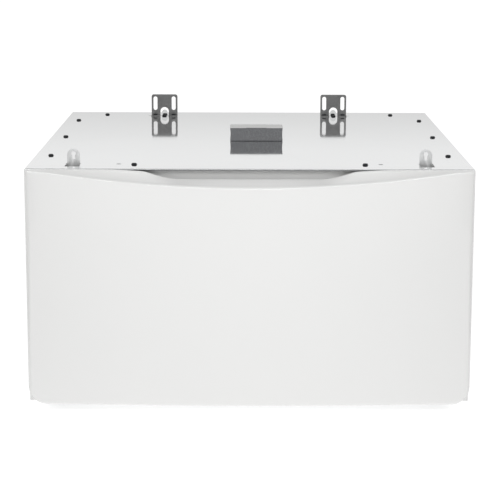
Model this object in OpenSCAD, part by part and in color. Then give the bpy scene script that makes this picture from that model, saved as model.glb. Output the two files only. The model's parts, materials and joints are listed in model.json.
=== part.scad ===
// Laundry pedestal with one drawer, seen from the floor up: four adjustable legs,
// a bent sheet cabinet, a bright top sheet with the brackets that hold a washer,
// and a drawer with a bowed front that is pulled by its top rim.
// Millimetres. +Z up, the drawer opens towards -Y, +X is the viewer's right.
// The origin is on the floor, under the middle of the whole outline.

/* [Cabinet] */
// Width over the two side panels
cabinet_w = 686; // [640:1:740]
// Depth from the front returns to the outside of the back panel
cabinet_d = 690; // [670:1:760]
// Height of the top sheet's upper face, with the legs screwed right in
pedestal_h = 381; // [360:1:430]
// Height of the cabinet's lower edge above the floor
base_gap = 14; // [13:1:18]
// Thickness of the side, back, rail and carrier sheet
sheet_t = 1.2; // [0.8:0.1:1.6]
// Outer radius of the upright bends of the side panels
bend_r = 3; // [2:0.5:5]
// Width of the side panels' top flanges, which carry the top sheet
top_flange_w = 45; // [36:1:55]
// Width of the side panels' bottom flanges
bottom_flange_w = 30; // [20:1:31]
// Width of the upright returns beside the drawer
return_w = 16; // [12:1:19]
// Depth of the back panel's top flange
back_flange_d = 68; // [64:1:80]
// Depth of the pressed field in the back panel
back_press = 4; // [2:0.5:8]
// Width of the back panel's flat border
back_border = 60; // [45:1:80]

/* [Top sheet] */
// Thickness of the bright top sheet
top_t = 1.5; // [1:0.1:2]
// Depth of the hem that is folded under along the front edge
hem_d = 12; // [6:1:20]
// Inset of the six side screws from the side panels' faces
side_screw_in = 24.5; // [14:0.5:28]
// Distances of the side screws behind the front edge
side_screw_y = [130, 345, 565];
// Half the distance between the two front screws
front_screw_x = 179; // [150:1:195]
// Distance of the front screws behind the front edge
front_screw_y = 40; // [36:1:46]
// Half the distance between the two rear screws
rear_screw_x = 272; // [240:1:280]
// Distance of the rear screws ahead of the rear edge
rear_screw_y = 40; // [20:1:45]
// Half the distance between the two open fixing holes
fix_hole_x = 203.5; // [200:0.5:240]
// Distance of the open fixing holes behind the front edge
fix_hole_y = 46; // [40:1:49]
// Radius of the open fixing holes
fix_hole_r = 3.5; // [2.5:0.1:4]

/* [Upper front rail] */
// Distance of the rail's front web behind the front edge, which leaves room for fingertips
rail_web_y = 14; // [14:1:18]
// Distance of the rail's rear web behind the front edge, which carries the lugs
rail_rear_y = 54; // [53:1:70]
// Height of the rail's front web
rail_h = 36; // [28:1:40]
// Height of the rail's rear web
rail_rear_h = 27; // [26:1:34]
// Depth of the lip turned in along the front web's lower edge
rail_lip_d = 10; // [6:1:12]

/* [Lower front rail] */
// Height of the lower front rail
low_rail_h = 42; // [36:1:44]
// Depth of its two flanges
low_rail_d = 30; // [20:1:40]

/* [Front lugs] */
// Half the distance between the two lugs
lug_x = 274; // [250:1:280]
// Width of each lug
lug_w = 20; // [16:1:24]
// Height of each lug above the top sheet
lug_h = 23; // [20:1:30]
// Thickness of each lug
lug_t = 1.6; // [1.2:0.1:2]
// Length of each lug below the top sheet
lug_down = 24; // [12:1:26]
// Radius of the keyhole's upper end
lug_key_r = 3.6; // [2.5:0.1:4.2]
// Radius of the keyhole's lower end
lug_key_small_r = 2.2; // [2:0.1:2.4]
// Distance between the keyhole's two ends
lug_key_l = 7; // [4:0.5:8]
// Distance of the keyhole's upper end below the lug's top
lug_key_in = 4; // [3:0.5:6]
// Distance from each lug's face to the front of its hole
lug_hole_d = 32; // [20:1:34]
// Clearance round each lug in its hole
lug_clear = 1; // [0.4:0.1:2]

/* [Rear brackets] */
// Half the distance between the two brackets
bracket_x = 161.5; // [120:0.5:200]
// Distance of the brackets ahead of the rear edge
bracket_y = 53; // [48:1:53]
// Width of each bracket
bracket_w = 49.5; // [46:0.5:60]
// Height of each bracket above the top sheet
bracket_h = 41; // [40:1:60]
// Thickness of each bracket
bracket_t = 2; // [1.2:0.1:3]
// Depth of each bracket's foot
bracket_foot = 12; // [11:1:13]
// Radius of each bracket's upper corners
bracket_r = 4; // [1:0.5:6]
// Distance of the two upright slots from the bracket's middle
slot_x = 17.4; // [15:0.1:18]
// Width of each upright slot
slot_w = 7.6; // [5:0.1:8]
// Height of each slot's lower end above the top sheet
slot_z = 11; // [9:0.5:12]
// Length of each upright slot
slot_l = 26; // [16:1:26]
// Width of the arched window at each bracket's base
window_w = 16; // [13:0.5:17]
// Height of the arched window
window_h = 16.5; // [14:0.5:20]
// Distance of the top sheet's slit from the bracket's inner side
slit_inset = 4; // [2:0.5:8]
// Length of the slit that shows beside each bracket's outer side
slit_beyond = 6; // [2:0.5:12]
// Width of that slit
slit_w = 2.4; // [1.5:0.1:3]
// Width of the small lug that stands behind each window
catch_w = 11; // [8:0.5:11]
// Height of the small lug
catch_h = 11; // [8:0.5:12]
// Gap between each bracket and the small lug
catch_gap = 4; // [3:0.5:6]

/* [Foam block] */
// Width of the foam block
foam_w = 90; // [60:1:120]
// Depth of the foam block
foam_d = 46; // [30:1:70]
// Height of the foam block
foam_h = 24; // [15:1:40]
// Distance of the foam block to the right of the middle
foam_x = 12; // [-40:1:40]
// Distance of its front face behind the front edge
foam_y = 297; // [250:1:350]
// Thickness of the adhesive film under the foam block
foam_film = 0.3; // [0.1:0.1:0.5]

/* [Fasteners] */
// Width of the hexagon heads across their flats
hex_af = 7; // [5:0.5:8]
// Height of the hexagon heads above their washers
hex_h = 1.8; // [1.2:0.1:4]
// Radius of the heads' washers
washer_r = 4.6; // [4.5:0.1:5]
// Thickness of the heads' washers
washer_t = 0.6; // [0.5:0.1:1.2]
// Radius of the screws' shanks
shank_r = 1.8; // [1.5:0.1:2]
// Length of the screws' shanks
shank_l = 11; // [8:1:14]
// Radial clearance of a shank in its hole
shank_clear = 0.1; // [0.1:0.1:0.5]
// Radius of the low round heads inside the drawer and on the back
pan_r = 4; // [3:0.1:4.5]
// Height of the low round heads
pan_h = 2; // [1.2:0.1:2.4]
// Length of the screws that join the drawer front to its box
box_screw_l = 5; // [4:0.5:5.5]
// Distance of the back panel's end screws from its lower and upper edges
back_screw_end = 30; // [20:1:60]

/* [Legs] */
// Distance of each leg from the side panel's outer face
leg_in_x = 42; // [40:1:60]
// Distance of each leg from the front edge and from the rear edge
leg_in_y = 46; // [44:1:60]
// Radius of the legs' threaded stems
stem_r = 4.76; // [4:0.01:5]
// Length of the thread above the hexagon collar
stem_l = 40; // [39:1:43]
// Length of the taper at the thread's upper end
stem_tip = 1; // [0.5:0.1:2]
// Radial clearance of the thread in the nuts
thread_clear = 0.1; // [0.08:0.01:0.15]
// Width of the hexagon collar and of the nuts across their flats
leg_af = 16; // [14:0.5:18]
// Height of the hexagon collar
collar_h = 5; // [4:0.5:5.5]
// Height of the lock nuts
lock_nut_h = 5.5; // [4:0.5:6]
// Height of the weld nuts on top of the leg plates
weld_nut_h = 8; // [6:0.5:9]
// Gap between faces that turn or slide past each other
run_gap = 0.3; // [0.2:0.05:0.4]
// Radius of the foot pads
pad_r = 19; // [14:0.5:24]
// Height of the foot pads' discs
pad_h = 7; // [6:0.5:7.5]
// Width of the bevel under each foot pad
pad_bevel = 1.5; // [0.5:0.1:2]
// Height of the slope on top of each foot pad
pad_slope_h = 2; // [1:0.1:3]
// Width of that slope
pad_slope_w = 4; // [2:0.5:6]
// Height of the socket that holds each stem's end
socket_h = 5; // [4:0.5:5.5]
// Wall thickness of that socket
socket_wall = 3; // [2:0.5:4]
// How far the socket reaches down into the foot pad
socket_depth = 2.5; // [1.5:0.5:4]
// Radius of the stems' plain ends
stem_end_r = 4; // [3:0.1:4.5]
// Thickness of the leg plates
leg_plate_t = 3; // [2:0.5:4]
// Width of the leg plates
leg_plate_w = 76; // [66:1:80]

/* [Slides] */
// Length of the slides' outer and inner members
slide_l = 560; // [500:1:600]
// Thickness of a whole slide
slide_t = 12.7; // [12.4:0.1:14]
// Height of a whole slide
slide_h = 45; // [42:0.5:55]
// Thickness of the slides' members
member_t = 1.2; // [1:0.1:1.3]
// Radius of the balls
ball_r = 2.25; // [2:0.05:2.4]
// Clearance of the balls in their tracks
ball_clear = 0.2; // [0.1:0.05:0.25]
// Thickness of the ball cages
cage_t = 0.8; // [0.5:0.1:0.9]
// Length of the ball cages
cage_l = 290; // [200:1:300]
// Number of balls in each row of a cage
ball_n = 8; // [4:1:12]
// How far the middle members end short of the outer ones
middle_short = 10; // [0:1:20]
// Distance of the slides behind the front edge
slide_y = 4; // [2:1:10]
// Height of the slides' middle line above the drawer's lower edge
slide_up = 108; // [90:1:140]
// Depth of the carriers that hold the slides off the side panels
carrier_d = 20; // [18:1:24]
// Height of the carriers' webs
carrier_h = 64; // [58:1:90]
// Width of the carriers' lips on the side panels
carrier_lip = 14; // [8:1:20]
// Distance of the fixings from the slides' two ends
slide_fix_end = 40; // [20:1:60]
// Radius of the rivets and inner screws that hold the slides
rivet_r = 1.8; // [1.6:0.1:3]
// Height of the rivets' heads
rivet_head_h = 1.5; // [1:0.1:2]

/* [Release levers] */
// Length of each lever ahead of its pivot
lever_l = 58; // [40:1:70]
// Height of each lever
lever_h = 7; // [6:0.5:8]
// Radius of each lever's pivot
lever_pin_r = 1.8; // [1.4:0.1:2]
// Thickness of each lever
lever_t = 3.2; // [2:0.1:3.4]
// Distance of the levers' pivots behind the slides' middle fixings
lever_behind = 20; // [12:1:60]

/* [Drawer front] */
// How far the front bows out ahead of the cabinet at its middle
bow = 28; // [24:1:34]
// How much less it stands out at its two ends
bow_sag = 12; // [6:1:12]
// Gap between the cabinet and the closed drawer front
front_gap = 3; // [2.5:0.5:4]
// Height of the drawer front's lower edge above the floor
front_bottom = 12; // [10:1:14]
// Thickness of the drawer front's skin
skin_t = 2; // [1.5:0.1:2.2]
// Radius of the skin's two upright edges
edge_r = 6; // [4:0.5:7]
// Radius of the skin's lower edge
low_edge_r = 6; // [3:0.5:6]
// Radius of the skin's two lower corners
corner_r = 28; // [8:1:36]
// Distance of the front face's crest below the top sheet, at the middle
crest_drop = 24.6; // [20:0.1:30]
// Radius that the crest would have if it were an arc across the front
crest_arc = 2110; // [1900:10:3000]
// Length over which the crest eases out where it meets the rim's height
crest_ease = 3; // [1:0.5:5]
// Radius of the crest's rounded edge
crest_r = 3; // [1:0.5:4]
// Distance of the rear rim below the top sheet, at the sides
rim_side_drop = 1; // [0.5:0.5:4]
// Distance of the rear rim below the top sheet, in the finger scoop
rim_scoop_drop = 15; // [10:0.5:18]
// Half the width of the finger scoop along the rim
scoop_rim_x = 160; // [140:1:180]
// Half the width of the finger scoop along the crest
scoop_crest_x = 125; // [110:1:140]
// Width over which the scoop's ends rise, at the crest
scoop_end_crest_w = 30; // [20:1:110]
// The same at the rim
scoop_end_rim_w = 90; // [30:1:110]
// Height of the lip turned down behind the rim
lip_h = 12; // [8:0.5:16]
// Width of the bevel along the rim's rear edge
rim_bevel = 1; // [0.5:0.1:1.5]

/* [Drawer box] */
// Thickness of the drawer's sheet
box_t = 1; // [0.8:0.1:1.4]
// Depth of the drawer box
box_d = 600; // [590:1:610]
// Height of the box's lower edge above the floor
box_z = 62; // [61:1:70]
// Gap between the box's upper edge and the upper rail
box_top_gap = 12; // [6:1:40]
// Width of the flanges that join the box's walls
box_flange = 16; // [12:1:24]
// Height of the folded hem along the box's upper edges
box_hem_h = 9; // [6:1:16]
// Distance of the end screws and rivets from the box's lower and upper edges
box_fix_end = 30; // [20:1:60]
// Distance of the front liner's upper edge below the top sheet
liner_drop = 48; // [38:1:49]
// Depth of the liner's flanges inside the skin
liner_flange = 5; // [3:0.5:5.5]
// Height of the pressed ribs across the drawer's floor
floor_rib_h = 3; // [2:0.5:4]
// Number of pressed ribs across the drawer's floor
floor_rib_n = 5; // [2:1:8]
// Width of those ribs
floor_rib_w = 24; // [12:1:40]
// Distance of the ribs' ends from the side walls
floor_rib_end = 50; // [20:1:120]
// Radius of the rubber buffers that the drawer closes on
buffer_r = 5; // [3:0.5:5.5]
// Radius of the studs that hold the buffers
buffer_stud_r = 1.8; // [1.5:0.1:2.6]
// How far the studs reach behind the front returns
buffer_stud_l = 1.5; // [1:0.1:3]
// Distance of the buffers from the front returns' ends
buffer_end = 60; // [30:1:90]

/* [Hidden] */
$fn = 48;

PAINT = "white";
ZINC = "gainsboro";
DARK = "dimgray";
BLACK = "#303234";
RUBBER = "#2a2a2a";

LEFT = -1;
RIGHT = 1;
FRONT = -1;
REAR = 1;
NIL = 0.01;     // overlap that joins two shapes which would only touch
CUT = 5;        // how far a cut runs past the sheets that it goes through

// Main planes
x_side = cabinet_w / 2;
y_rear = (cabinet_d + bow - pan_h) / 2;   // the back panel's screw heads stand out behind it
y_face = y_rear - cabinet_d;
z_top = pedestal_h;
z_under = z_top - top_t;
shell_h = z_under - base_gap;
x_inner = x_side - sheet_t;
x_flat = x_side - bend_r;         // beyond this and the two values below, the sides' bends begin
y_flat_front = y_face + bend_r;
y_flat_rear = y_rear - sheet_t - bend_r;
x_return = x_side - return_w / 2; // middle of the side panels' returns

// Places on the top sheet
side_screws = [for (s = [LEFT, RIGHT], y = side_screw_y) [s * (x_side - side_screw_in), y_face + y]];
front_screws = [for (s = [LEFT, RIGHT]) [s * front_screw_x, y_face + front_screw_y]];
rear_screws = [for (s = [LEFT, RIGHT]) [s * rear_screw_x, y_rear - rear_screw_y]];
fix_holes = [for (s = [LEFT, RIGHT]) [s * fix_hole_x, y_face + fix_hole_y]];
y_bracket = y_rear - bracket_y;
bracket_screw_y = bracket_foot / 2;
y_lug = y_face + rail_rear_y - lug_t;

// Slides, measured from the carrier's face towards the drawer
x_carrier = x_inner - carrier_d;
box_half = x_carrier - slide_t;
y_slide = y_face + slide_y;
y_lever = y_slide + slide_l / 2 + lever_behind;
x_lever = x_carrier - (slide_t - member_t);   // face of the inner member's web
lever_pin_l = lever_t + 2 * run_gap;
z_slide = box_z + slide_up;
track_r = ball_r + ball_clear;
curl_r = track_r + member_t;
outer_row_u = curl_r;
outer_row_z = slide_h / 2 - curl_r;
outer_cage_u = member_t + run_gap;
middle_web_u = outer_cage_u + cage_t + run_gap;
inner_row_u = middle_web_u + curl_r;
inner_row_z = outer_row_z - 2 * track_r - member_t;
inner_cage_u = middle_web_u + member_t + run_gap;
inner_web_u = slide_t - member_t;
inner_flange_z = inner_row_z - curl_r;
under_curl_deg = acos((run_gap + outer_cage_u + cage_t - outer_row_u) / curl_r);
open_deg = 10;  // a track's free edge runs on this far past the balls' middle
shut_deg = 22;  // and the track under it stops this far short

// Drawer front
y_skin = y_face - front_gap;
z_skin = front_bottom;
skin_steps = 26;
corner_steps = 4;
sculpt_steps = 8;
side_rise = 2.1;   // powers that shape the sculpted top between crest and rim, at the sides
scoop_rise = 1.3;  // and in the finger scoop
crest_over = 0.4;
box_top = z_under - rail_h - box_top_gap;
box_hem_t = 2.5 * box_t;
y_box_rear = y_skin + box_d;
x_box_fix = box_half - box_flange / 2;     // middle of the box's flanges
x_liner = x_side - skin_t - run_gap;
z_liner = z_skin + skin_t + run_gap;
liner_top = z_top - liner_drop;
liner_screw_z = [box_z + box_fix_end, (box_z + box_top) / 2, box_top - box_fix_end];

// Legs, from the floor up
z_socket = pad_h - socket_depth;
z_collar = pad_h + socket_h + run_gap;
z_thread = z_collar + collar_h;
z_lock = z_thread + run_gap;
z_plate = z_lock + lock_nut_h + run_gap;
leg_x = x_side - leg_in_x;

function leg_y(end) = end == FRONT ? y_face + leg_in_y : y_rear - leg_in_y;

// ---- helpers ---------------------------------------------------------------

// Draws its children on the right, or mirrored on the left
module on_side(side) {
    if (side == LEFT) mirror([1, 0, 0]) children();
    else children();
}

// Draws its children, and once more mirrored about the height z
module above_and_below(z) {
    children();
    translate([0, 0, 2 * z]) mirror([0, 0, 1]) children();
}

// A box from its lowest corner to its highest one
module block(low, high) {
    translate(low) cube(high - low);
}

// A bore or pin along Y, centred on x and z
module along_y(x, z, y0, y1, r) {
    translate([x, y0, z]) rotate([-90, 0, 0]) cylinder(r = r, h = y1 - y0);
}

// A bore or pin along X, centred on y and z
module along_x(y, z, x0, x1, r) {
    translate([x0, y, z]) rotate([0, 90, 0]) cylinder(r = r, h = x1 - x0);
}

// A self-tapping screw with a hexagon head on a washer, its seat at the origin
module hex_screw(length) {
    cylinder(r = washer_r, h = washer_t);
    cylinder(d = hex_af / cos(30), h = washer_t + hex_h, $fn = 6);
    translate([0, 0, -length]) cylinder(r = shank_r, h = length);
}

// A screw with a low round head, its seat at the origin and its shank along -Z
module pan_screw(length, r) {
    cylinder(r = pan_r, h = pan_h * 0.5);
    translate([0, 0, pan_h * 0.5]) cylinder(r1 = pan_r, r2 = pan_r * 0.7, h = pan_h * 0.5);
    translate([0, 0, -length]) cylinder(r = r, h = length);
}

// ---- cabinet ---------------------------------------------------------------

module top_panel() {
    hem_r = top_t;
    color(ZINC) {
        difference() {
            union() {
                block([-x_side, y_face + hem_r, z_under], [x_side, y_rear, z_top]);
                block([-x_side, y_face + hem_r, z_top - 2 * hem_r], [x_side, y_face + hem_d, z_top]);
                along_x(y_face + hem_r, z_top - hem_r, -x_side, x_side, hem_r);
                for (s = [LEFT, RIGHT]) bracket_catch(s * bracket_x);
            }
            for (p = concat(side_screws, front_screws, rear_screws)) top_hole(p, shank_r + shank_clear);
            for (p = fix_holes) top_hole(p, fix_hole_r);
            for (s = [LEFT, RIGHT]) {
                lug_hole(s * lug_x);
                on_side(s) bracket_slit();
                for (x = [-slot_x, 0, slot_x])
                    top_hole([s * bracket_x + x, y_bracket - bracket_screw_y], shank_r + shank_clear);
            }
        }
    }
}

// A round hole down through everything near the top
module top_hole(at, r) {
    translate([at.x, at.y, z_under - CUT]) cylinder(r = r, h = 2 * CUT);
}

// The rectangular hole that a front lug stands up through
module lug_hole(x) {
    half = lug_w / 2 + lug_clear;
    block([x - half, y_lug - lug_hole_d, z_under - CUT],
        [x + half, y_lug + lug_t + lug_clear / 2, z_top + CUT]);
}

// The narrow slit under a bracket, which shows on its outer side
module bracket_slit() {
    half = bracket_w / 2;
    y = y_bracket + bracket_t / 2;
    block([bracket_x - half + slit_inset, y - slit_w / 2, z_under - CUT],
        [bracket_x + half + slit_beyond, y + slit_w / 2, z_top + CUT]);
}

// The small arched lug behind a bracket's window
module bracket_catch(x) {
    r = catch_w / 2;
    y = y_bracket + bracket_t + catch_gap;
    block([x - r, y, z_under], [x + r, y + top_t, z_top + catch_h - r]);
    along_y(x, z_top + catch_h - r, y, y + top_t, r);
}

// Plan of a side panel: wall, front return and rear return with rounded bends
module side_plan() {
    difference() {
        bent_plan(bend_r, 0);
        bent_plan(bend_r - sheet_t, sheet_t);
    }
}

module bent_plan(r, inset) {
    y0 = y_face + inset;
    y1 = y_rear - sheet_t - inset;
    x1 = x_side - inset;
    x0 = x_side - return_w - (inset > 0 ? 1 : 0);
    translate([x0, y0]) square([x1 - r - x0, y1 - y0]);
    translate([x1 - r - NIL, y0 + r]) square([r + NIL, y1 - y0 - 2 * r]);
    for (y = [y0 + r, y1 - r]) translate([x1 - r, y]) circle(r = r);
}

module side_panel(side) {
    color(PAINT) on_side(side) difference() {
        union() {
            translate([0, 0, base_gap]) linear_extrude(shell_h) side_plan();
            block([x_side - top_flange_w, y_flat_front, z_under - sheet_t],
                [x_side - sheet_t / 2, y_flat_rear, z_under]);
            block([x_side - bottom_flange_w, y_flat_front, base_gap],
                [x_side - sheet_t / 2, y_flat_rear, base_gap + sheet_t]);
        }
        // the top sheet's folded hem lies in this notch
        block([x_side - top_flange_w - 1, y_face - 1, z_top - 2 * top_t - run_gap],
            [x_side + 1, y_face + hem_d + run_gap, z_top]);
        for (p = side_screws) if (p.x > 0) top_hole(p, shank_r + shank_clear);
        for (z = back_screw_heights())
            along_y(x_return, z, y_rear - CUT, y_rear + CUT, shank_r + shank_clear);
        for (z = buffer_heights())
            along_y(x_return, z, y_face - CUT, y_face + CUT, buffer_stud_r + thread_clear);
    }
}

function back_screw_heights() = [for (i = [0:3])
    base_gap + back_screw_end + i * (shell_h - 2 * back_screw_end) / 3];

function buffer_heights() = [base_gap + buffer_end, z_under - buffer_end];

module back_panel() {
    y0 = y_rear - sheet_t;
    flange_x = x_side - top_flange_w - run_gap;
    foot_x = x_side - bottom_flange_w - run_gap;
    field = [[-x_side + back_border, base_gap + back_border], [x_side - back_border, z_under - back_border]];
    color(ZINC) difference() {
        union() {
            block([-x_side, y0, base_gap], [x_side, y_rear, z_under]);
            block([field[0].x, y0 - back_press, field[0].y], [field[1].x, y_rear, field[1].y]);
            block([-flange_x, y_rear - back_flange_d, z_under - sheet_t], [flange_x, y_rear, z_under]);
            block([-foot_x, y_rear - bottom_flange_w, base_gap], [foot_x, y_rear, base_gap + sheet_t]);
        }
        block([field[0].x + sheet_t, y_rear - back_press, field[0].y + sheet_t],
            [field[1].x - sheet_t, y_rear + 1, field[1].y - sheet_t]);
        for (s = [LEFT, RIGHT], z = back_screw_heights())
            along_y(s * x_return, z, y_rear - CUT, y_rear + CUT, shank_r + shank_clear);
        for (p = rear_screws) top_hole(p, shank_r + shank_clear);
        for (s = [LEFT, RIGHT], x = [-slot_x, 0, slot_x])
            top_hole([s * bracket_x + x, y_bracket - bracket_screw_y], shank_r + shank_clear);
    }
}

module front_rail_upper() {
    y_front = y_face + rail_web_y;
    y_back = y_face + rail_rear_y;
    z_low = z_under - rail_h;
    flange_x = x_side - top_flange_w - run_gap;
    color(PAINT) difference() {
        union() {
            block([-flange_x, y_front, z_under - sheet_t], [flange_x, y_back + sheet_t, z_under]);
            rail_web(y_front, z_low, flange_x);
            rail_web(y_back, z_under - rail_rear_h, flange_x);
            block([-x_inner, y_front, z_low], [x_inner, y_front + rail_lip_d, z_low + sheet_t]);
        }
        // the lugs stand through these gaps, in front of the rear web
        for (s = [LEFT, RIGHT])
            block([s * lug_x - lug_w / 2 - 2 * lug_clear, y_lug - lug_hole_d, z_under - CUT],
                [s * lug_x + lug_w / 2 + 2 * lug_clear, y_back, z_under + CUT]);
        for (p = front_screws) top_hole(p, shank_r + shank_clear);
        for (p = fix_holes) top_hole(p, fix_hole_r);
    }
}

// One upright web of the upper rail: it passes under the side panels' top flanges
module rail_web(y, z_low, flange_x) {
    block([-x_inner, y, z_low], [x_inner, y + sheet_t, z_under - sheet_t - run_gap]);
    block([-flange_x, y, z_low], [flange_x, y + sheet_t, z_under]);
}

module front_rail_lower() {
    y0 = y_face + sheet_t;
    z0 = base_gap + sheet_t;
    color(ZINC) {
        block([-x_flat, y0, z0], [x_flat, y0 + sheet_t, base_gap + low_rail_h]);
        block([-x_flat, y0, base_gap + low_rail_h - sheet_t],
            [x_flat, y0 + low_rail_d, base_gap + low_rail_h]);
        block([-x_side + bottom_flange_w + run_gap, y0, z0],
            [x_side - bottom_flange_w - run_gap, y0 + low_rail_d * 0.5, z0 + sheet_t]);
    }
}

// Plate that holds a leg, bent down to stand on the bottom flange, with its weld nut
module leg_plate(side, end) {
    y = leg_y(end);
    half = leg_plate_w / 2;
    color(ZINC) on_side(side) difference() {
        union() {
            block([leg_x - half, y - half, z_plate], [x_inner, y + half, z_plate + leg_plate_t]);
            block([x_inner - leg_plate_t, y - half, base_gap + sheet_t], [x_inner, y + half, z_plate + NIL]);
            translate([leg_x, y, z_plate]) cylinder(d = leg_af / cos(30),
                h = leg_plate_t + weld_nut_h, $fn = 6);
        }
        translate([leg_x, y, 0])
            cylinder(r = stem_r + thread_clear, h = z_plate + leg_plate_t + weld_nut_h + CUT);
    }
}

// ---- washer fixings on the top ---------------------------------------------

module front_lug(side) {
    x = side * lug_x;
    half = lug_w / 2;
    z_arch = z_top + lug_h - half;
    z_key = z_top + lug_h - lug_key_in - lug_key_r;
    color(ZINC) difference() {
        union() {
            block([x - half, y_lug, z_top - lug_down], [x + half, y_lug + lug_t, z_arch]);
            along_y(x, z_arch, y_lug, y_lug + lug_t, half);
        }
        along_y(x, z_key, y_lug - CUT, y_lug + CUT, lug_key_r);
        along_y(x, z_key - lug_key_l, y_lug - CUT, y_lug + CUT, lug_key_small_r);
        block([x - lug_key_small_r, y_lug - CUT, z_key - lug_key_l],
            [x + lug_key_small_r, y_lug + CUT, z_key]);
    }
}

module rear_bracket(side) {
    x = side * bracket_x;
    half = bracket_w / 2;
    y1 = y_bracket + bracket_t;
    z1 = z_top + bracket_h;
    color(DARK) difference() {
        union() {
            block([x - half, y_bracket, z_top], [x + half, y1, z1 - bracket_r]);
            block([x - half + bracket_r, y_bracket, z_top], [x + half - bracket_r, y1, z1]);
            for (s = [LEFT, RIGHT])
                along_y(x + s * (half - bracket_r), z1 - bracket_r, y_bracket, y1, bracket_r);
            block([x - half, y_bracket - bracket_foot, z_top], [x + half, y1, z_top + bracket_t]);
        }
        for (s = [LEFT, RIGHT]) {
            upright_slot(x + s * slot_x);
            translate([x + s * slot_x, y_bracket - bracket_screw_y, z_top - CUT])
                cylinder(r = shank_r + shank_clear, h = 2 * CUT);
        }
        arched_window(x);
    }
}

module upright_slot(x) {
    r = slot_w / 2;
    y0 = y_bracket - CUT;
    y1 = y_bracket + bracket_t + CUT;
    z0 = z_top + slot_z + r;
    z1 = z_top + slot_z + slot_l - r;
    for (z = [z0, z1]) along_y(x, z, y0, y1, r);
    block([x - r, y0, z0], [x + r, y1, z1]);
}

module arched_window(x) {
    r = window_w / 2;
    y0 = y_bracket - bracket_foot - CUT;
    y1 = y_bracket + bracket_t + CUT;
    z_arch = z_top + window_h - r;
    block([x - r, y0, z_top - CUT], [x + r, y1, z_arch]);
    along_y(x, z_arch, y0, y1, r);
}

module foam_block() {
    color(BLACK) translate([foam_x - foam_w / 2, y_face + foam_y, z_top + foam_film])
        cube([foam_w, foam_d, foam_h - foam_film]);
}

// ---- fasteners in groups ---------------------------------------------------

module top_panel_screws() {
    color(BLACK) for (p = concat(side_screws, front_screws, rear_screws))
        translate([p.x, p.y, z_top]) hex_screw(shank_l);
}

module rear_bracket_screws() {
    color(BLACK) for (s = [LEFT, RIGHT], x = [-slot_x, 0, slot_x])
        translate([s * bracket_x + x, y_bracket - bracket_screw_y, z_top + (x == 0 ? 0 : bracket_t)])
            hex_screw(shank_l);
}

module back_panel_screws() {
    color(ZINC) for (s = [LEFT, RIGHT], z = back_screw_heights())
        translate([s * x_return, y_rear, z]) rotate([-90, 0, 0]) pan_screw(shank_l, shank_r);
}

// ---- legs ------------------------------------------------------------------

module leg_foot(side, end) {
    color(RUBBER) translate([side * leg_x, leg_y(end), 0]) difference() {
        union() {
            cylinder(r1 = pad_r - pad_bevel, r2 = pad_r, h = pad_bevel);
            translate([0, 0, pad_bevel]) cylinder(r = pad_r, h = pad_h - pad_slope_h - pad_bevel);
            translate([0, 0, pad_h - pad_slope_h])
                cylinder(r1 = pad_r, r2 = pad_r - pad_slope_w, h = pad_slope_h);
            cylinder(r = stem_end_r + socket_wall, h = pad_h + socket_h);
        }
        translate([0, 0, z_socket])
            cylinder(r = stem_end_r + thread_clear, h = socket_depth + socket_h + CUT);
    }
}

module leg_stem(side, end) {
    color(DARK) translate([side * leg_x, leg_y(end), 0]) {
        translate([0, 0, z_socket + run_gap])
            cylinder(r = stem_end_r, h = z_collar - z_socket - run_gap + NIL);
        translate([0, 0, z_collar]) cylinder(d = leg_af / cos(30), h = collar_h, $fn = 6);
        translate([0, 0, z_thread - NIL]) cylinder(r = stem_r, h = stem_l - stem_tip + NIL);
        translate([0, 0, z_thread + stem_l - stem_tip])
            cylinder(r1 = stem_r, r2 = stem_r - stem_tip, h = stem_tip);
    }
}

module lock_nut(side, end) {
    color(ZINC) translate([side * leg_x, leg_y(end), z_lock]) difference() {
        cylinder(d = leg_af / cos(30), h = lock_nut_h, $fn = 6);
        translate([0, 0, -CUT]) cylinder(r = stem_r + thread_clear, h = lock_nut_h + 2 * CUT);
    }
}

// ---- slides ----------------------------------------------------------------

// Maps a slide's section, drawn as [distance from the carrier, height], to its place
module slide_section(side, y0, length) {
    on_side(side) translate([x_carrier, y0 + length, z_slide]) rotate([90, 0, 0])
        linear_extrude(length) mirror([1, 0, 0]) children();
}

// Part of a ring between two angles, as a rolled track is round its balls
module curl(at, from_deg, to_deg) {
    far = 4 * curl_r;
    fan = [for (i = [0:4]) from_deg + (to_deg - from_deg) * i / 4];
    translate(at) intersection() {
        difference() {
            circle(r = curl_r);
            circle(r = track_r);
        }
        polygon(concat([[0, 0]], [for (a = fan) far * [cos(a), sin(a)]]));
    }
}

// Draws its children above the slide's middle line and mirrored below it
module both_rows() {
    children();
    mirror([0, 1]) children();
}

module outer_section() {
    translate([0, -outer_row_z]) square([member_t, 2 * outer_row_z]);
    both_rows() curl([outer_row_u, outer_row_z], -open_deg, 180);
}

module middle_section() {
    translate([middle_web_u, -inner_row_z]) square([member_t, 2 * inner_row_z]);
    both_rows() {
        curl([outer_row_u, outer_row_z], 360 - under_curl_deg, 360 - shut_deg);
        curl([inner_row_u, inner_row_z], -open_deg, 180);
    }
}

module inner_section() {
    translate([inner_web_u, -inner_flange_z - member_t])
        square([member_t, 2 * (inner_flange_z + member_t)]);
    both_rows() {
        curl([inner_row_u, inner_row_z], 360 - under_curl_deg, 360 - shut_deg);
        translate([inner_row_u, inner_flange_z]) square([inner_web_u + NIL - inner_row_u, member_t]);
    }
}

function slide_fix_ys() = [for (i = [0:2])
    y_slide + slide_fix_end + i * (slide_l - 2 * slide_fix_end) / 2];

module slide_outer(side) {
    color(ZINC) difference() {
        slide_section(side, y_slide, slide_l) outer_section();
        for (y = slide_fix_ys()) on_side(side)
            along_x(y, z_slide, x_carrier - CUT, x_carrier + CUT, rivet_r + thread_clear);
    }
}

module slide_middle(side) {
    color(ZINC) slide_section(side, y_slide + middle_short / 2, slide_l - middle_short) middle_section();
}

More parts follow.
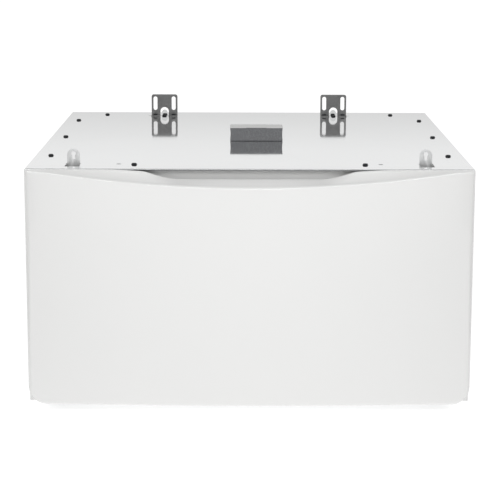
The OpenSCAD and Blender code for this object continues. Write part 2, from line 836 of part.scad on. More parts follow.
module slide_inner(side) {
    color(ZINC) difference() {
        union() {
            slide_section(side, y_slide, slide_l) inner_section();
            on_side(side) along_x(y_lever, z_slide, x_lever - NIL, x_lever + lever_pin_l, lever_pin_r);
        }
        for (y = slide_fix_ys()) on_side(side)
            along_x(y, z_slide, box_half - CUT, box_half + CUT, rivet_r + thread_clear);
    }
}

module slide_carrier(side) {
    y0 = y_flat_front;
    y1 = y_flat_rear;
    half = carrier_h / 2;
    color(ZINC) on_side(side) difference() {
        union() {
            block([x_carrier, y0, z_slide - half], [x_carrier + sheet_t, y1, z_slide + half]);
            above_and_below(z_slide) {
                block([x_carrier, y0, z_slide + half - sheet_t], [x_inner, y1, z_slide + half]);
                block([x_inner - sheet_t, y0, z_slide + half - sheet_t],
                    [x_inner, y1, z_slide + half + carrier_lip]);
            }
        }
        for (y = slide_fix_ys())
            along_x(y, z_slide, x_carrier - CUT, x_carrier + CUT, rivet_r + thread_clear);
    }
}

module slide_outer_rivets() {
    color(ZINC) for (s = [LEFT, RIGHT], y = slide_fix_ys()) on_side(s) {
        along_x(y, z_slide, x_carrier - member_t, x_carrier + sheet_t + NIL, rivet_r);
        along_x(y, z_slide, x_carrier + sheet_t, x_carrier + sheet_t + rivet_head_h, pan_r);
    }
}

module slide_inner_screws() {
    color(ZINC) for (s = [LEFT, RIGHT], y = slide_fix_ys()) on_side(s)
        translate([box_half - box_t, y, z_slide]) rotate([0, -90, 0]) pan_screw(box_t + member_t, rivet_r);
}

// A comb of thin strip with a ball in each of its notches, top and bottom
module ball_cage(side, row_u, row_z, strip_u) {
    y0 = y_slide + (slide_l - cage_l) / 2;
    pitch = cage_l / ball_n;
    tip = row_z + ball_r * 0.4;
    x = x_carrier - strip_u;
    color(DARK) on_side(side) difference() {
        block([x - cage_t, y0, z_slide - tip], [x, y0 + cage_l, z_slide + tip]);
        for (i = [0:ball_n - 1], s = [-1, 1])
            along_x(y0 + (i + 0.5) * pitch, z_slide + s * row_z, x - CUT, x + CUT, track_r);
    }
    color(ZINC) on_side(side) for (i = [0:ball_n - 1], s = [-1, 1])
        translate([x_carrier - row_u, y0 + (i + 0.5) * pitch, z_slide + s * row_z]) sphere(r = ball_r);
}

module outer_ball_cage(side) {
    ball_cage(side, outer_row_u, outer_row_z, outer_cage_u);
}

module inner_ball_cage(side) {
    ball_cage(side, inner_row_u, inner_row_z, inner_cage_u);
}

module release_lever(side) {
    x0 = x_lever + run_gap;
    x1 = x0 + lever_t;
    half = lever_h / 2;
    color(BLACK) on_side(side) difference() {
        union() {
            along_x(y_lever, z_slide, x0, x1, half);
            block([x0, y_lever - lever_l, z_slide - half * 0.7], [x1, y_lever, z_slide + half * 0.7]);
            along_x(y_lever - lever_l, z_slide, x0, x1, half);
        }
        along_x(y_lever, z_slide, x0 - CUT, x1 + CUT, lever_pin_r + thread_clear);
    }
}

// ---- drawer front ----------------------------------------------------------

// Half the distance to a soft floor at zero, which keeps a curve smooth where it ends
function soft(v, e) = (v + sqrt(v * v + e * e)) / 2;

// Stations from the middle to the hollow's end: even, then closer round the lower corner
function hollow_stations() = let (
        half = x_side - skin_t,
        r = corner_r - skin_t)
    concat([for (i = [1:skin_steps]) (half - r) * i / skin_steps],
        [for (i = [1:corner_steps]) half - r + r * sin(90 * i / corner_steps)]);

// The same, and on through the thickness of the skin's end
function outer_stations() = concat(hollow_stations(),
    [for (k = [0.5, 0.8, 1]) x_side - skin_t * (1 - k)]);

// Stations on both sides, from left to right
function both_ways(xs) = concat([for (i = [len(xs) - 1:-1:0]) -xs[i]], [0], xs);

// How far a rounded edge of radius r has turned away at distance x from the middle
function turned(x, half, r) = let (over = max(0, abs(x) - (half - r)))
    r - sqrt(max(0, r * r - over * over));

// Place of the front face, in Y, at distance x from the middle
function face_y(x) = y_face - bow + bow_sag * pow(x / x_side, 2);

// Height of the crest, where the front face turns in
function crest_z(x) = let (z_side = z_top - rim_side_drop + crest_over)
    z_side - soft(z_side - (z_top - crest_drop) - x * x / (2 * crest_arc), crest_ease);

// Share of the finger scoop at distance x from the middle and share t of the way to the rim
function scoop(x, t) = let (
        edge = scoop_crest_x + (scoop_rim_x - scoop_crest_x) * t,
        end_w = scoop_end_crest_w + (scoop_end_rim_w - scoop_end_crest_w) * t,
        u = min(1, soft((edge - abs(x)) / end_w, 0.1)))
    1 - pow(1 - u, 2);

// Height of the sculpted top at share t of the way from the crest to the rim
function sculpt_z(x, t) = let (
        z0 = crest_z(x),
        s = scoop(x, t),
        side_z = z0 + (z_top - rim_side_drop - z0) * pow(t, side_rise),
        scoop_z = z0 + (z_top - rim_scoop_drop - z0) * pow(t, scoop_rise))
    side_z * (1 - s) + scoop_z * s;

// Outer section of the skin at distance x from the middle, from the back of its
// lower edge round the front to the rim
function outer_profile(x) = let (
        yf = face_y(x) + turned(x, x_side, edge_r),
        zb = z_skin + turned(x, x_side, corner_r),
        zc = crest_z(x),
        deep = y_skin - yf)
    concat(
        [[y_skin, zb]],
        [for (a = [0:30:90]) [yf + low_edge_r - low_edge_r * sin(a), zb + low_edge_r - low_edge_r * cos(a)]],
        [for (a = [0:30:60]) [yf + crest_r - crest_r * cos(a), zc - crest_r + crest_r * sin(a)]],
        [for (i = [1:sculpt_steps])
            let (t = (crest_r + (deep - crest_r - rim_bevel) * i / sculpt_steps) / deep)
            [yf + deep * t, sculpt_z(x, t)]],
        [[y_skin, sculpt_z(x, 1) - rim_bevel]]);

// Section of the hollow behind the skin, open to the rear below the lip
function hollow_profile(x) = let (
        y_out = face_y(x) + turned(x, x_side, edge_r),
        yf = face_y(x) + skin_t + turned(x, x_side - skin_t, edge_r - skin_t),
        zb = z_skin + skin_t + turned(x, x_side - skin_t, corner_r - skin_t),
        y1 = y_skin - skin_t,
        lip = sculpt_z(x, 1) - lip_h,
        r = low_edge_r - skin_t)
    concat(
        [[y_skin, zb]],
        [for (a = [0:45:90]) [yf + r - r * sin(a), zb + r - r * cos(a)]],
        [[yf, crest_z(x) - 3 * skin_t]],
        [for (i = [0:4]) let (y = yf + (y1 - yf) * i / 4)
            [y, sculpt_z(x, (y - y_out) / (y_skin - y_out)) - 1.4 * skin_t]],
        [[y1, lip], [y_skin, lip]]);

// Two triangles for each step along two neighbouring rows of point numbers
function strip(rows, steps) = [for (i = [0:len(rows) - 2], j = steps) let (
        n = len(rows[i]),
        a = rows[i][j], b = rows[i][(j + 1) % n],
        c = rows[i + 1][j], d = rows[i + 1][(j + 1) % n])
    each [[a, b, c], [b, d, c]]];

function reversed(v) = [for (i = [len(v) - 1:-1:0]) v[i]];

// One closed shell: a C-shaped section all along the hollow, then a full one through each end
module drawer_front_skin() {
    outer_xs = both_ways(outer_stations());
    hollow_xs = both_ways(hollow_stations());
    n = len(outer_profile(0));
    k = len(hollow_profile(0));
    m = len(outer_xs);
    extra = (m - len(hollow_xs)) / 2;
    outer = [for (i = [0:m - 1]) [for (j = [0:n - 1]) i * n + j]];
    hollow = [for (i = [0:len(hollow_xs) - 1]) [for (j = [0:k - 1]) m * n + i * k + j]];
    c_rows = [for (i = [0:len(hollow) - 1]) concat(outer[i + extra], reversed(hollow[i]))];
    left_rows = [for (i = [0:extra]) outer[i]];
    right_rows = [for (i = [m - 1 - extra:m - 1]) outer[i]];
    // the rear faces next to the hollow's ends also meet its corners
    in_l = hollow[0];
    in_r = hollow[len(hollow) - 1];
    a = outer[extra - 1];
    b = outer[extra];
    c = outer[m - 1 - extra];
    d = outer[m - extra];
    rear_left = [[a[0], b[0], in_l[0]], [a[n - 1], a[0], in_l[0]],
        [a[n - 1], in_l[0], in_l[k - 1]], [a[n - 1], in_l[k - 1], b[n - 1]]];
    rear_right = [[c[n - 1], in_r[k - 1], d[n - 1]], [in_r[k - 1], in_r[0], d[0]],
        [in_r[k - 1], d[0], d[n - 1]], [in_r[0], c[0], d[0]]];
    color(PAINT) polyhedron(
        concat([for (x = outer_xs, p = outer_profile(x)) [x, p.x, p.y]],
            [for (x = hollow_xs, p = hollow_profile(x)) [x, p.x, p.y]]),
        concat(
            strip(c_rows, [0:n + k - 1]),
            strip(left_rows, [0:n - 2]),
            strip([for (i = [0:extra - 1]) outer[i]], [n - 1]),
            strip(right_rows, [0:n - 2]),
            strip([for (i = [m - extra:m - 1]) outer[i]], [n - 1]),
            rear_left, rear_right,
            [in_l, reversed(in_r), reversed(outer[0]), outer[m - 1]]),
        convexity = 8);
}

module drawer_front_liner() {
    y0 = y_skin - box_t;
    y_flange = y_skin - liner_flange;
    x_corner = x_liner - corner_r;
    z_corner = z_liner + corner_r;
    color(ZINC) difference() {
        union() {
            block([-x_liner, y0, z_corner], [x_liner, y_skin, liner_top]);
            block([-x_corner, y0, z_liner], [x_corner, y_skin, liner_top]);
            block([-x_corner, y_flange, z_liner], [x_corner, y_skin, z_liner + box_t]);
            for (s = [LEFT, RIGHT]) on_side(s) {
                block([x_liner - box_t, y_flange, z_corner], [x_liner, y_skin, liner_top]);
                along_y(x_corner, z_corner, y0, y_skin, corner_r);
            }
        }
        for (s = [LEFT, RIGHT], z = liner_screw_z)
            along_y(s * x_box_fix, z, y_skin - CUT, y_skin + CUT, shank_r + shank_clear);
    }
}

module drawer_front_screws() {
    color(ZINC) for (s = [LEFT, RIGHT], z = liner_screw_z)
        translate([s * x_box_fix, y_skin + box_t, z]) rotate([-90, 0, 0])
            pan_screw(box_screw_l, shank_r);
}

// ---- drawer box ------------------------------------------------------------

module drawer_side(side) {
    x0 = box_half - box_t;
    color(PAINT) on_side(side) difference() {
        union() {
            block([x0, y_skin, box_z], [box_half, y_box_rear, box_top]);
            block([box_half - box_flange, y_skin, box_z], [box_half, y_skin + box_t, box_top]);
            block([box_half - box_flange, y_box_rear - box_t, box_z], [box_half, y_box_rear, box_top]);
            block([box_half - box_flange, y_skin, box_z], [box_half, y_box_rear, box_z + box_t]);
            block([box_half - box_hem_t, y_skin, box_top - box_hem_h], [box_half, y_box_rear, box_top]);
        }
        for (z = liner_screw_z)
            along_y(x_box_fix, z, y_skin - CUT, y_skin + CUT, shank_r + shank_clear);
        for (z = corner_rivet_heights())
            along_y(x_box_fix, z, y_box_rear - CUT, y_box_rear + CUT, shank_r + shank_clear);
        for (y = slide_fix_ys())
            along_x(y, z_slide, box_half - CUT, box_half + CUT, rivet_r + thread_clear);
    }
}

function corner_rivet_heights() = [for (i = [0:2])
    box_z + box_fix_end + i * (box_top - box_z - 2 * box_fix_end) / 2];

module drawer_back() {
    y1 = y_box_rear - box_t;
    half = box_half - box_t - run_gap;
    hem_half = box_half - box_hem_t - run_gap;
    color(PAINT) difference() {
        union() {
            block([-half, y1 - box_t, box_z + box_t], [half, y1, box_top]);
            block([-hem_half, y1 - box_hem_t, box_top - box_hem_h], [hem_half, y1, box_top]);
        }
        // the side walls' hems pass these corners
        for (s = [LEFT, RIGHT]) on_side(s)
            block([hem_half, y1 - CUT, box_top - box_hem_h - run_gap],
                [half + CUT, y1 + CUT, box_top + CUT]);
        for (s = [LEFT, RIGHT], z = corner_rivet_heights())
            along_y(s * x_box_fix, z, y1 - CUT, y1 + CUT, shank_r + shank_clear);
    }
}

module drawer_corner_rivets() {
    color(ZINC) for (s = [LEFT, RIGHT], z = corner_rivet_heights())
        translate([s * x_box_fix, y_box_rear - 2 * box_t, z]) rotate([90, 0, 0])
            pan_screw(2 * box_t, shank_r);
}

module drawer_bottom() {
    half = box_half - box_t - run_gap;
    y0 = y_skin + box_t + run_gap;
    y1 = y_box_rear - 2 * box_t - run_gap;
    z0 = box_z + box_t;
    pitch = (y1 - y0) / (floor_rib_n + 1);
    color(PAINT) difference() {
        union() {
            block([-half, y0, z0], [half, y1, z0 + box_t]);
            for (i = [1:floor_rib_n]) floor_rib(y0 + i * pitch, z0, 0, floor_rib_h);
        }
        for (i = [1:floor_rib_n])
            floor_rib(y0 + i * pitch, z0 - CUT, box_t, floor_rib_h + CUT - box_t);
    }
}

// A rib pressed up across the drawer's floor, or its hollow when inset
module floor_rib(y, z, inset, h) {
    half_l = box_half - floor_rib_end - inset;
    half_w = floor_rib_w / 2 - inset;
    block([-half_l, y - half_w, z], [half_l, y + half_w, z + h]);
}

module drawer_buffers() {
    color(RUBBER) for (s = [LEFT, RIGHT], z = buffer_heights()) {
        along_y(s * x_return, z, y_skin + run_gap, y_face, buffer_r);
        along_y(s * x_return, z, y_face - NIL, y_face + sheet_t + buffer_stud_l, buffer_stud_r);
    }
}

// ---- one line for each sub-part ---------------------------------------------

top_panel();
side_panel(LEFT);  // side_panel_left
side_panel(RIGHT);  // side_panel_right
back_panel();
front_rail_upper();
front_rail_lower();
leg_plate(LEFT, FRONT);  // leg_plate_front_left
leg_plate(RIGHT, FRONT);  // leg_plate_front_right
leg_plate(LEFT, REAR);  // leg_plate_rear_left
leg_plate(RIGHT, REAR);  // leg_plate_rear_right
slide_carrier(LEFT);  // slide_carrier_left
slide_carrier(RIGHT);  // slide_carrier_right
front_lug(LEFT);  // front_lug_left
front_lug(RIGHT);  // front_lug_right
rear_bracket(LEFT);  // rear_bracket_left
rear_bracket(RIGHT);  // rear_bracket_right
foam_block();
top_panel_screws();
rear_bracket_screws();
back_panel_screws();
drawer_buffers();
slide_outer(LEFT);  // slide_outer_left
slide_outer(RIGHT);  // slide_outer_right
slide_outer_rivets();
leg_foot(LEFT, FRONT);  // leg_foot_front_left
leg_foot(RIGHT, FRONT);  // leg_foot_front_right
leg_foot(LEFT, REAR);  // leg_foot_rear_left
leg_foot(RIGHT, REAR);  // leg_foot_rear_right
leg_stem(LEFT, FRONT);  // leg_stem_front_left
leg_stem(RIGHT, FRONT);  // leg_stem_front_right
leg_stem(LEFT, REAR);  // leg_stem_rear_left
leg_stem(RIGHT, REAR);  // leg_stem_rear_right
lock_nut(LEFT, FRONT);  // lock_nut_front_left
lock_nut(RIGHT, FRONT);  // lock_nut_front_right
lock_nut(LEFT, REAR);  // lock_nut_rear_left
lock_nut(RIGHT, REAR);  // lock_nut_rear_right
slide_middle(LEFT);  // slide_middle_left
slide_middle(RIGHT);  // slide_middle_right
outer_ball_cage(LEFT);  // ball_cage_outer_left
outer_ball_cage(RIGHT);  // ball_cage_outer_right
inner_ball_cage(LEFT);  // ball_cage_inner_left
inner_ball_cage(RIGHT);  // ball_cage_inner_right
slide_inner(LEFT);  // slide_inner_left
slide_inner(RIGHT);  // slide_inner_right
slide_inner_screws();
release_lever(LEFT);  // release_lever_left
release_lever(RIGHT);  // release_lever_right
drawer_front_skin();
drawer_front_liner();
drawer_front_screws();
drawer_side(LEFT);  // drawer_side_left
drawer_side(RIGHT);  // drawer_side_right
drawer_back();
drawer_bottom();
drawer_corner_rivets();
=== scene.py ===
# %% [markdown]
# # A laundry pedestal with one drawer
#
# The object is a sheet-steel box that a washer stands on. Its white front is the face of one wide
# drawer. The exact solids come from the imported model. This notebook gives each of them its finish,
# and models again those whose edges, curves or threads the eye rests on.
# Everything is in metres, with the origin on the floor under the middle of the part.

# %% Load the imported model
import bpy
import json
import math
from mathutils import Matrix, Vector

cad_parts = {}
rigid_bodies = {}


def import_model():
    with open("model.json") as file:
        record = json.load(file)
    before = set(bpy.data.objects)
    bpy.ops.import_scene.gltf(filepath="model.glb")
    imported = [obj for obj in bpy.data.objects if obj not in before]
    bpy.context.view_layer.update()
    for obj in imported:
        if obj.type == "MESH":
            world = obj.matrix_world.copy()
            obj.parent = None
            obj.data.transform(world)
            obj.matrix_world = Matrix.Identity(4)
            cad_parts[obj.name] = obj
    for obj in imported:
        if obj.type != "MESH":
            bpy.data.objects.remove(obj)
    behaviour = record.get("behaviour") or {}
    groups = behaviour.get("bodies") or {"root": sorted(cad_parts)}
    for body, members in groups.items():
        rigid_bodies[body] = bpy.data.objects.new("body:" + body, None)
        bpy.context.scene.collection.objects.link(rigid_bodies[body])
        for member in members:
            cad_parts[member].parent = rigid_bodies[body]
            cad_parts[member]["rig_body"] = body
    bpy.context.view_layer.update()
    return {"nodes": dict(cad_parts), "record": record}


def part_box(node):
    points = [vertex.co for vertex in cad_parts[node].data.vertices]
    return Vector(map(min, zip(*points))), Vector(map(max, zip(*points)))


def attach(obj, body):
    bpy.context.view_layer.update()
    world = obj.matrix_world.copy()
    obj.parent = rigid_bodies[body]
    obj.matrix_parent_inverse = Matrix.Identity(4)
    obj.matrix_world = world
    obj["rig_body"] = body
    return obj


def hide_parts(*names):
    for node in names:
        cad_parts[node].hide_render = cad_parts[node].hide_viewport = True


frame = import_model()
nodes = frame["nodes"]
scene = bpy.context.scene
MM = 0.001
slot_of_node = {entry["node"]: entry["material_slot"] for entry in frame["record"]["subparts"]}

# %% [markdown]
# The camera stands where the photographer's did, 2.4 m in front of the drawer and about twice as
# high as the pedestal. A long lens from far off keeps the box's sides nearly parallel, as product
# photographs do.

# %% Camera
LENS_PX = 1593                      # focal length in pixels of a picture 500 wide
eye = Vector((-0.008, -2.729, 0.769))
pitch, yaw, roll = math.radians(10.31), math.radians(0.2), math.radians(0.173)
forward = Vector((math.sin(yaw) * math.cos(pitch), math.cos(yaw) * math.cos(pitch), -math.sin(pitch)))
camera_data = bpy.data.cameras.new("camera")
camera_data.sensor_width = 36
camera_data.lens = 36 * LENS_PX / 500
camera_data.shift_y = -0.1          # the sides converge as little as this in the photograph
camera = bpy.data.objects.new("camera", camera_data)
turn = forward.to_track_quat("-Z", "Y").to_matrix() @ Matrix.Rotation(roll, 3, "Z")
camera.matrix_world = Matrix.Translation(eye) @ turn.to_4x4()
scene.collection.objects.link(camera)
scene.camera = camera
print("lens", round(camera_data.lens, 1), "mm")

# %% [markdown]
# White goods are photographed in a tent of white cloth on a lit table. Light comes from all round,
# a little less from low down and from the two sides, and clearly less from overhead. The bright top
# sheet mirrors the low part of the tent behind it, and that is what shades it from grey at the rear
# to nearly white in front. The standard view transform shows a white as white.

# %% A function that adds a node, and one that turns a hex colour to linear light
def add_node(tree, kind, inputs=None, **settings):
    """Adds one node; inputs gives values, or the sockets that feed them."""
    node = tree.nodes.new(kind)
    for name, value in settings.items():
        setattr(node, name, value)
    for name, value in (inputs or {}).items():
        if isinstance(value, bpy.types.NodeSocket):
            tree.links.new(value, node.inputs[name])
        else:
            node.inputs[name].default_value = value
    return node


def colour(hex_code):
    """An sRGB hex colour as linear red, green, blue and alpha."""
    parts = [int(hex_code[i:i + 2], 16) / 255 for i in (1, 3, 5)]
    return [p / 12.92 if p <= 0.04045 else ((p + 0.055) / 1.055) ** 2.4 for p in parts] + [1.0]


# %% The tent
scene.view_settings.view_transform = "Standard"
tent = bpy.data.worlds.new("tent")
scene.world = tent
tent.use_nodes = True
sky = tent.node_tree
sky.nodes.clear()
look = add_node(sky, "ShaderNodeTexCoord")
along = add_node(sky, "ShaderNodeSeparateXYZ", {"Vector": look.outputs["Generated"]})
low_band = add_node(sky, "ShaderNodeMapRange", {
    "Value": along.outputs["Z"], "From Min": 0.118, "From Max": 0.148, "To Min": 0.69, "To Max": 0.91})
sideways = add_node(sky, "ShaderNodeMath", {0: along.outputs["X"]}, operation="ABSOLUTE")
side_fall = add_node(sky, "ShaderNodeMapRange", {
    "Value": sideways.outputs["Value"], "From Min": 0.35, "From Max": 0.95, "To Min": 1.0, "To Max": 0.9})
both = add_node(sky, "ShaderNodeMath", {0: low_band.outputs["Result"], 1: side_fall.outputs["Result"]},
                operation="MULTIPLY")
high_fall = add_node(sky, "ShaderNodeMapRange", {
    "Value": along.outputs["Z"], "From Min": 0.3, "From Max": 0.85, "To Min": 1.0, "To Max": 0.58})
all_three = add_node(sky, "ShaderNodeMath", {0: both.outputs["Value"], 1: high_fall.outputs["Result"]},
                     operation="MULTIPLY")
glow = add_node(sky, "ShaderNodeBackground", {
    "Strength": all_three.outputs["Value"], "Color": colour("#ffffff")})
add_node(sky, "ShaderNodeOutputWorld", {"Surface": glow.outputs["Background"]})

# %% [markdown]
# A small lamp high in front makes the middle of the face the brightest. The top sheet would mirror it
# as a white square, so it is left out of reflections.

# %% A function that hangs a lamp, and the lamp in front
def hang_lamp(name, width, height, watts, place, target):
    """A rectangular lamp, in metres, turned to the target. The camera doesn't see it."""
    data = bpy.data.lights.new(name, "AREA")
    data.shape = "RECTANGLE"
    data.size, data.size_y = width, height
    data.energy = watts
    lamp = bpy.data.objects.new(name, data)
    lamp.location = place
    lamp.rotation_euler = (target - lamp.location).to_track_quat("-Z", "Y").to_euler()
    lamp.visible_camera = False
    scene.collection.objects.link(lamp)
    return lamp


FACE_MIDDLE = Vector((0, -0.36, 0.2))
CREST_MIDDLE = Vector((0, -0.36, 0.36))
front_lamp = hang_lamp("front_lamp", 0.5, 0.3, 3.6, (0.0, -1.3, 0.97), FACE_MIDDLE)
front_lamp.visible_glossy = False
print("front lamp", front_lamp.data.energy, "W")

# %% [markdown]
# A long thin lamp above the face only shows in reflections. It draws the fine bright line along the
# face's crest, and on other rounded edges, that tells the eye that the enamel is glossy. From high
# behind the pedestal, the top sheet mirrors it as a white band.

# %% A thin lamp that is only reflected
edge_strip = hang_lamp("edge_strip", 1.5, 0.12, 9.0, (0.0, -0.95, 1.35), CREST_MIDDLE)
edge_strip.visible_diffuse = False
print("edge strip", edge_strip.data.energy, "W")

# %% [markdown]
# The table is a sheet of frosted plastic lit from below, so it is white in the picture and the
# shadow under the object stays faint.

# %% The table
bpy.ops.object.select_all(action="DESELECT")
bpy.ops.mesh.primitive_plane_add(size=60, location=(0, 0, 0))
table = bpy.context.object
table.name = "table"
paper = bpy.data.materials.new("lit_table")
paper.use_nodes = True
paper_shader = paper.node_tree.nodes["Principled BSDF"]
paper_shader.inputs["Base Color"].default_value = colour("#a8a8a8")
paper_shader.inputs["Roughness"].default_value = 0.9
paper_shader.inputs["Emission Color"].default_value = colour("#ffffff")
paper_shader.inputs["Emission Strength"].default_value = 0.79
table.data.materials.append(paper)

# %% [markdown]
# White things on a white ground lose their edges. Photographers stand a dark card at each side, just
# out of the picture: the rounded ends of the face mirror it, and the face dims a little towards them.
# The cards are lower than the top sheet's mirror looks, and the camera doesn't see them.

# %% Dark cards at both sides
felt = bpy.data.materials.new("dark_card")
felt.use_nodes = True
felt.node_tree.nodes["Principled BSDF"].inputs["Base Color"].default_value = colour("#5a5a5a")
felt.node_tree.nodes["Principled BSDF"].inputs["Roughness"].default_value = 0.95
for side in (-1, 1):
    bpy.ops.object.select_all(action="DESELECT")
    bpy.ops.mesh.primitive_plane_add(size=1, location=(side * 0.72, -1.1, 0.21))
    card = bpy.context.object
    card.name = "side_card_right" if side > 0 else "side_card_left"
    card.scale = (0.4, 1.4, 1)
    card.rotation_euler = (0, math.radians(90), 0)
    bpy.ops.object.transform_apply(location=True, rotation=True, scale=True)
    card.data.materials.append(felt)
    card.visible_camera = False

# %% [markdown]
# ## Finishes
# Each finish starts from what the real surface is and how it was made. The colour is the base, a
# noise or cell pattern of the right size in millimetres varies the roughness, and a faint bump
# gives what the hand would feel. A few small functions set up what they all share.

# %% The shader that every finish starts from, and the patterns' helpers
def start_finish(name, base, roughness, metallic=0.0):
    """A material with one Principled shader, and Object coordinates to hang patterns on."""
    material = bpy.data.materials.new(name)
    material.use_nodes = True
    tree = material.node_tree
    shader = tree.nodes["Principled BSDF"]
    shader.inputs["Base Color"].default_value = colour(base)
    shader.inputs["Roughness"].default_value = roughness
    shader.inputs["Metallic"].default_value = metallic
    place = add_node(tree, "ShaderNodeTexCoord").outputs["Object"]
    return material, tree, shader, place


def noise(tree, place, grain_mm, detail=3.0):
    """Noise whose features are grain_mm apart."""
    return add_node(tree, "ShaderNodeTexNoise", {"Vector": place, "Scale": 1000 / grain_mm,
                                                 "Detail": detail}).outputs["Fac"]


def stretch(tree, place, x, y, z):
    """The same place, squeezed so that a pattern runs long where the number is small."""
    return add_node(tree, "ShaderNodeMapping", {"Vector": place, "Scale": (x, y, z)}).outputs["Vector"]


def vary(tree, pattern, low, high, socket):
    """Lets a pattern move a shader's value between low and high."""
    spread = add_node(tree, "ShaderNodeMapRange", {"Value": pattern, "From Min": 0.3, "From Max": 0.7,
                                                   "To Min": low, "To Max": high})
    tree.links.new(spread.outputs["Result"], socket)


def vary_colour(tree, pattern, dark, pale, socket):
    """Lets a pattern move a shader's colour between two hex colours."""
    blend = add_node(tree, "ShaderNodeMix", {"Factor": pattern}, data_type="RGBA")
    blend.inputs[6].default_value = colour(dark)     # a Mix node keeps its colour sockets
    blend.inputs[7].default_value = colour(pale)     # after those for numbers and vectors
    tree.links.new(blend.outputs[2], socket)


def feel(tree, pattern, depth_mm, shader):
    """Turns a pattern into a bump of the given depth."""
    bump = add_node(tree, "ShaderNodeBump", {"Height": pattern, "Distance": depth_mm * MM, "Strength": 1.0})
    tree.links.new(bump.outputs["Normal"], shader.inputs["Normal"])


# %% [markdown]
# The top sheet is bright zinc-coated steel, rolled so smooth that it mirrors what stands on it. It
# is a metal, so it keeps the default IOR. The mill's rolls leave a haze in long streaks, about
# 1.5 mm across and 80 mm long. There is no bump, as even a faint one would break up the mirror.
# Where the press folded the front edge over, the coat is duller, and it is painted darker there: a painted
# shade along the edge.

# %% Bright zinc-coated sheet
HEM_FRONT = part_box("top_panel")[0].y
print("the sheet's folded edge is at y", round(HEM_FRONT / MM, 1), "mm")
bright_sheet, tree, shader, place = start_finish("bright_zinc_coated_sheet", "#ebecec", 0.06, 1.0)
streaks = noise(tree, stretch(tree, place, 0.02, 1, 1), 1.5, 2.0)
haze = add_node(tree, "ShaderNodeMapRange", {"Value": streaks, "From Min": 0.3, "From Max": 0.7,
                                             "To Min": 0.045, "To Max": 0.075})
depth = add_node(tree, "ShaderNodeSeparateXYZ", {"Vector": place}).outputs["Y"]
hem = add_node(tree, "ShaderNodeMath", {0: depth, 1: HEM_FRONT + 0.4 * MM},
               operation="LESS_THAN").outputs["Value"]
dull = add_node(tree, "ShaderNodeMath", {0: hem, 1: 0.35, 2: haze.outputs["Result"]},
                operation="MULTIPLY_ADD")
tree.links.new(dull.outputs["Value"], shader.inputs["Roughness"])
sheet_tone = add_node(tree, "ShaderNodeMix", {"Factor": noise(tree, place, 120, 2.0)}, data_type="RGBA")
sheet_tone.inputs[6].default_value = colour("#e9eaea")
sheet_tone.inputs[7].default_value = colour("#edeeee")
# The folded front edge is painted darker, a painted shade along the edge.
hem_painted_shade = add_node(tree, "ShaderNodeMix", {"Factor": hem}, data_type="RGBA")
tree.links.new(sheet_tone.outputs[2], hem_painted_shade.inputs[6])
hem_painted_shade.inputs[7].default_value = colour("#a4a5a6")
tree.links.new(hem_painted_shade.outputs[2], shader.inputs["Base Color"])

# %% [markdown]
# The drawer and the side panels are steel sheet under white baked enamel. Sprayed enamel dries
# with a very shallow orange peel, about 3 mm across, under a glossy surface.

# %% White enamel
white_enamel, tree, shader, place = start_finish("white_baked_enamel", "#ececeb", 0.2)
shader.inputs["Coat Weight"].default_value = 0.6
shader.inputs["Coat Roughness"].default_value = 0.06
vary(tree, noise(tree, place, 90), 0.17, 0.24, shader.inputs["Roughness"])
vary_colour(tree, noise(tree, place, 160, 2.0), "#ebebea", "#ededec", shader.inputs["Base Color"])
feel(tree, noise(tree, place, 3.0, 1.0), 0.006, shader)

# %% [markdown]
# Parts that nobody looks at are left as plain galvanised sheet. Hot-dip zinc freezes in crystals,
# the spangle, here about 9 mm across, each with its own grey and its own gloss.

# %% Galvanised sheet with its spangle
galvanised, tree, shader, place = start_finish("galvanised_sheet_with_spangle", "#a9adb0", 0.38, 1.0)
crystals = add_node(tree, "ShaderNodeTexVoronoi", {"Vector": place, "Scale": 1000 / 9, "Randomness": 1.0})
grey = add_node(tree, "ShaderNodeSeparateColor", {"Color": crystals.outputs["Color"]}).outputs["Red"]
vary_colour(tree, grey, "#989da0", "#b9bdbf", shader.inputs["Base Color"])
vary(tree, grey, 0.3, 0.46, shader.inputs["Roughness"])
feel(tree, crystals.outputs["Distance"], 0.01, shader)

# %% [markdown]
# Slides, legs, nuts and small screws are zinc plated in a barrel: a thin silvery coat with a satin
# look, because the parts rub against each other in the bath. The lugs have a paler coat with a milky
# film on it, which scatters light as well as mirroring it, so it is set only partly metallic.

# %% Zinc plate
zinc_plate, tree, shader, place = start_finish("barrel_zinc_plate", "#c4c8ca", 0.26, 1.0)
vary(tree, noise(tree, place, 6), 0.2, 0.34, shader.inputs["Roughness"])
vary_colour(tree, noise(tree, place, 14), "#bac0c3", "#cfd2d4", shader.inputs["Base Color"])

bright_plate, tree, shader, place = start_finish("bright_zinc_plate", "#e2e3e3", 0.44, 0.45)
vary(tree, noise(tree, place, 5), 0.4, 0.48, shader.inputs["Roughness"])
vary_colour(tree, noise(tree, place, 9), "#dfe0e0", "#e6e7e7", shader.inputs["Base Color"])

# %% [markdown]
# The rear brackets are phosphated: a grey crystal coat, fine as flour, that holds oil and looks
# nearly matt. Its grain is drawn at 0.8 mm, coarser than it is, so that it shows. The big screws
# are blackened with hot oxide, which stays a little shiny on the worn corners.

# %% Phosphated brackets and blackened screws
dark_steel, tree, shader, place = start_finish("dark_phosphated_steel", "#707070", 0.46, 0.4)
vary_colour(tree, noise(tree, place, 4), "#6a6a6a", "#767676", shader.inputs["Base Color"])
vary(tree, noise(tree, place, 1.5), 0.4, 0.54, shader.inputs["Roughness"])
feel(tree, noise(tree, place, 0.8), 0.01, shader)

black_oxide, tree, shader, place = start_finish("black_oxide_steel", "#2b2c2e", 0.4, 0.6)
vary(tree, noise(tree, place, 2), 0.3, 0.5, shader.inputs["Roughness"])
vary_colour(tree, noise(tree, place, 3), "#242527", "#343639", shader.inputs["Base Color"])
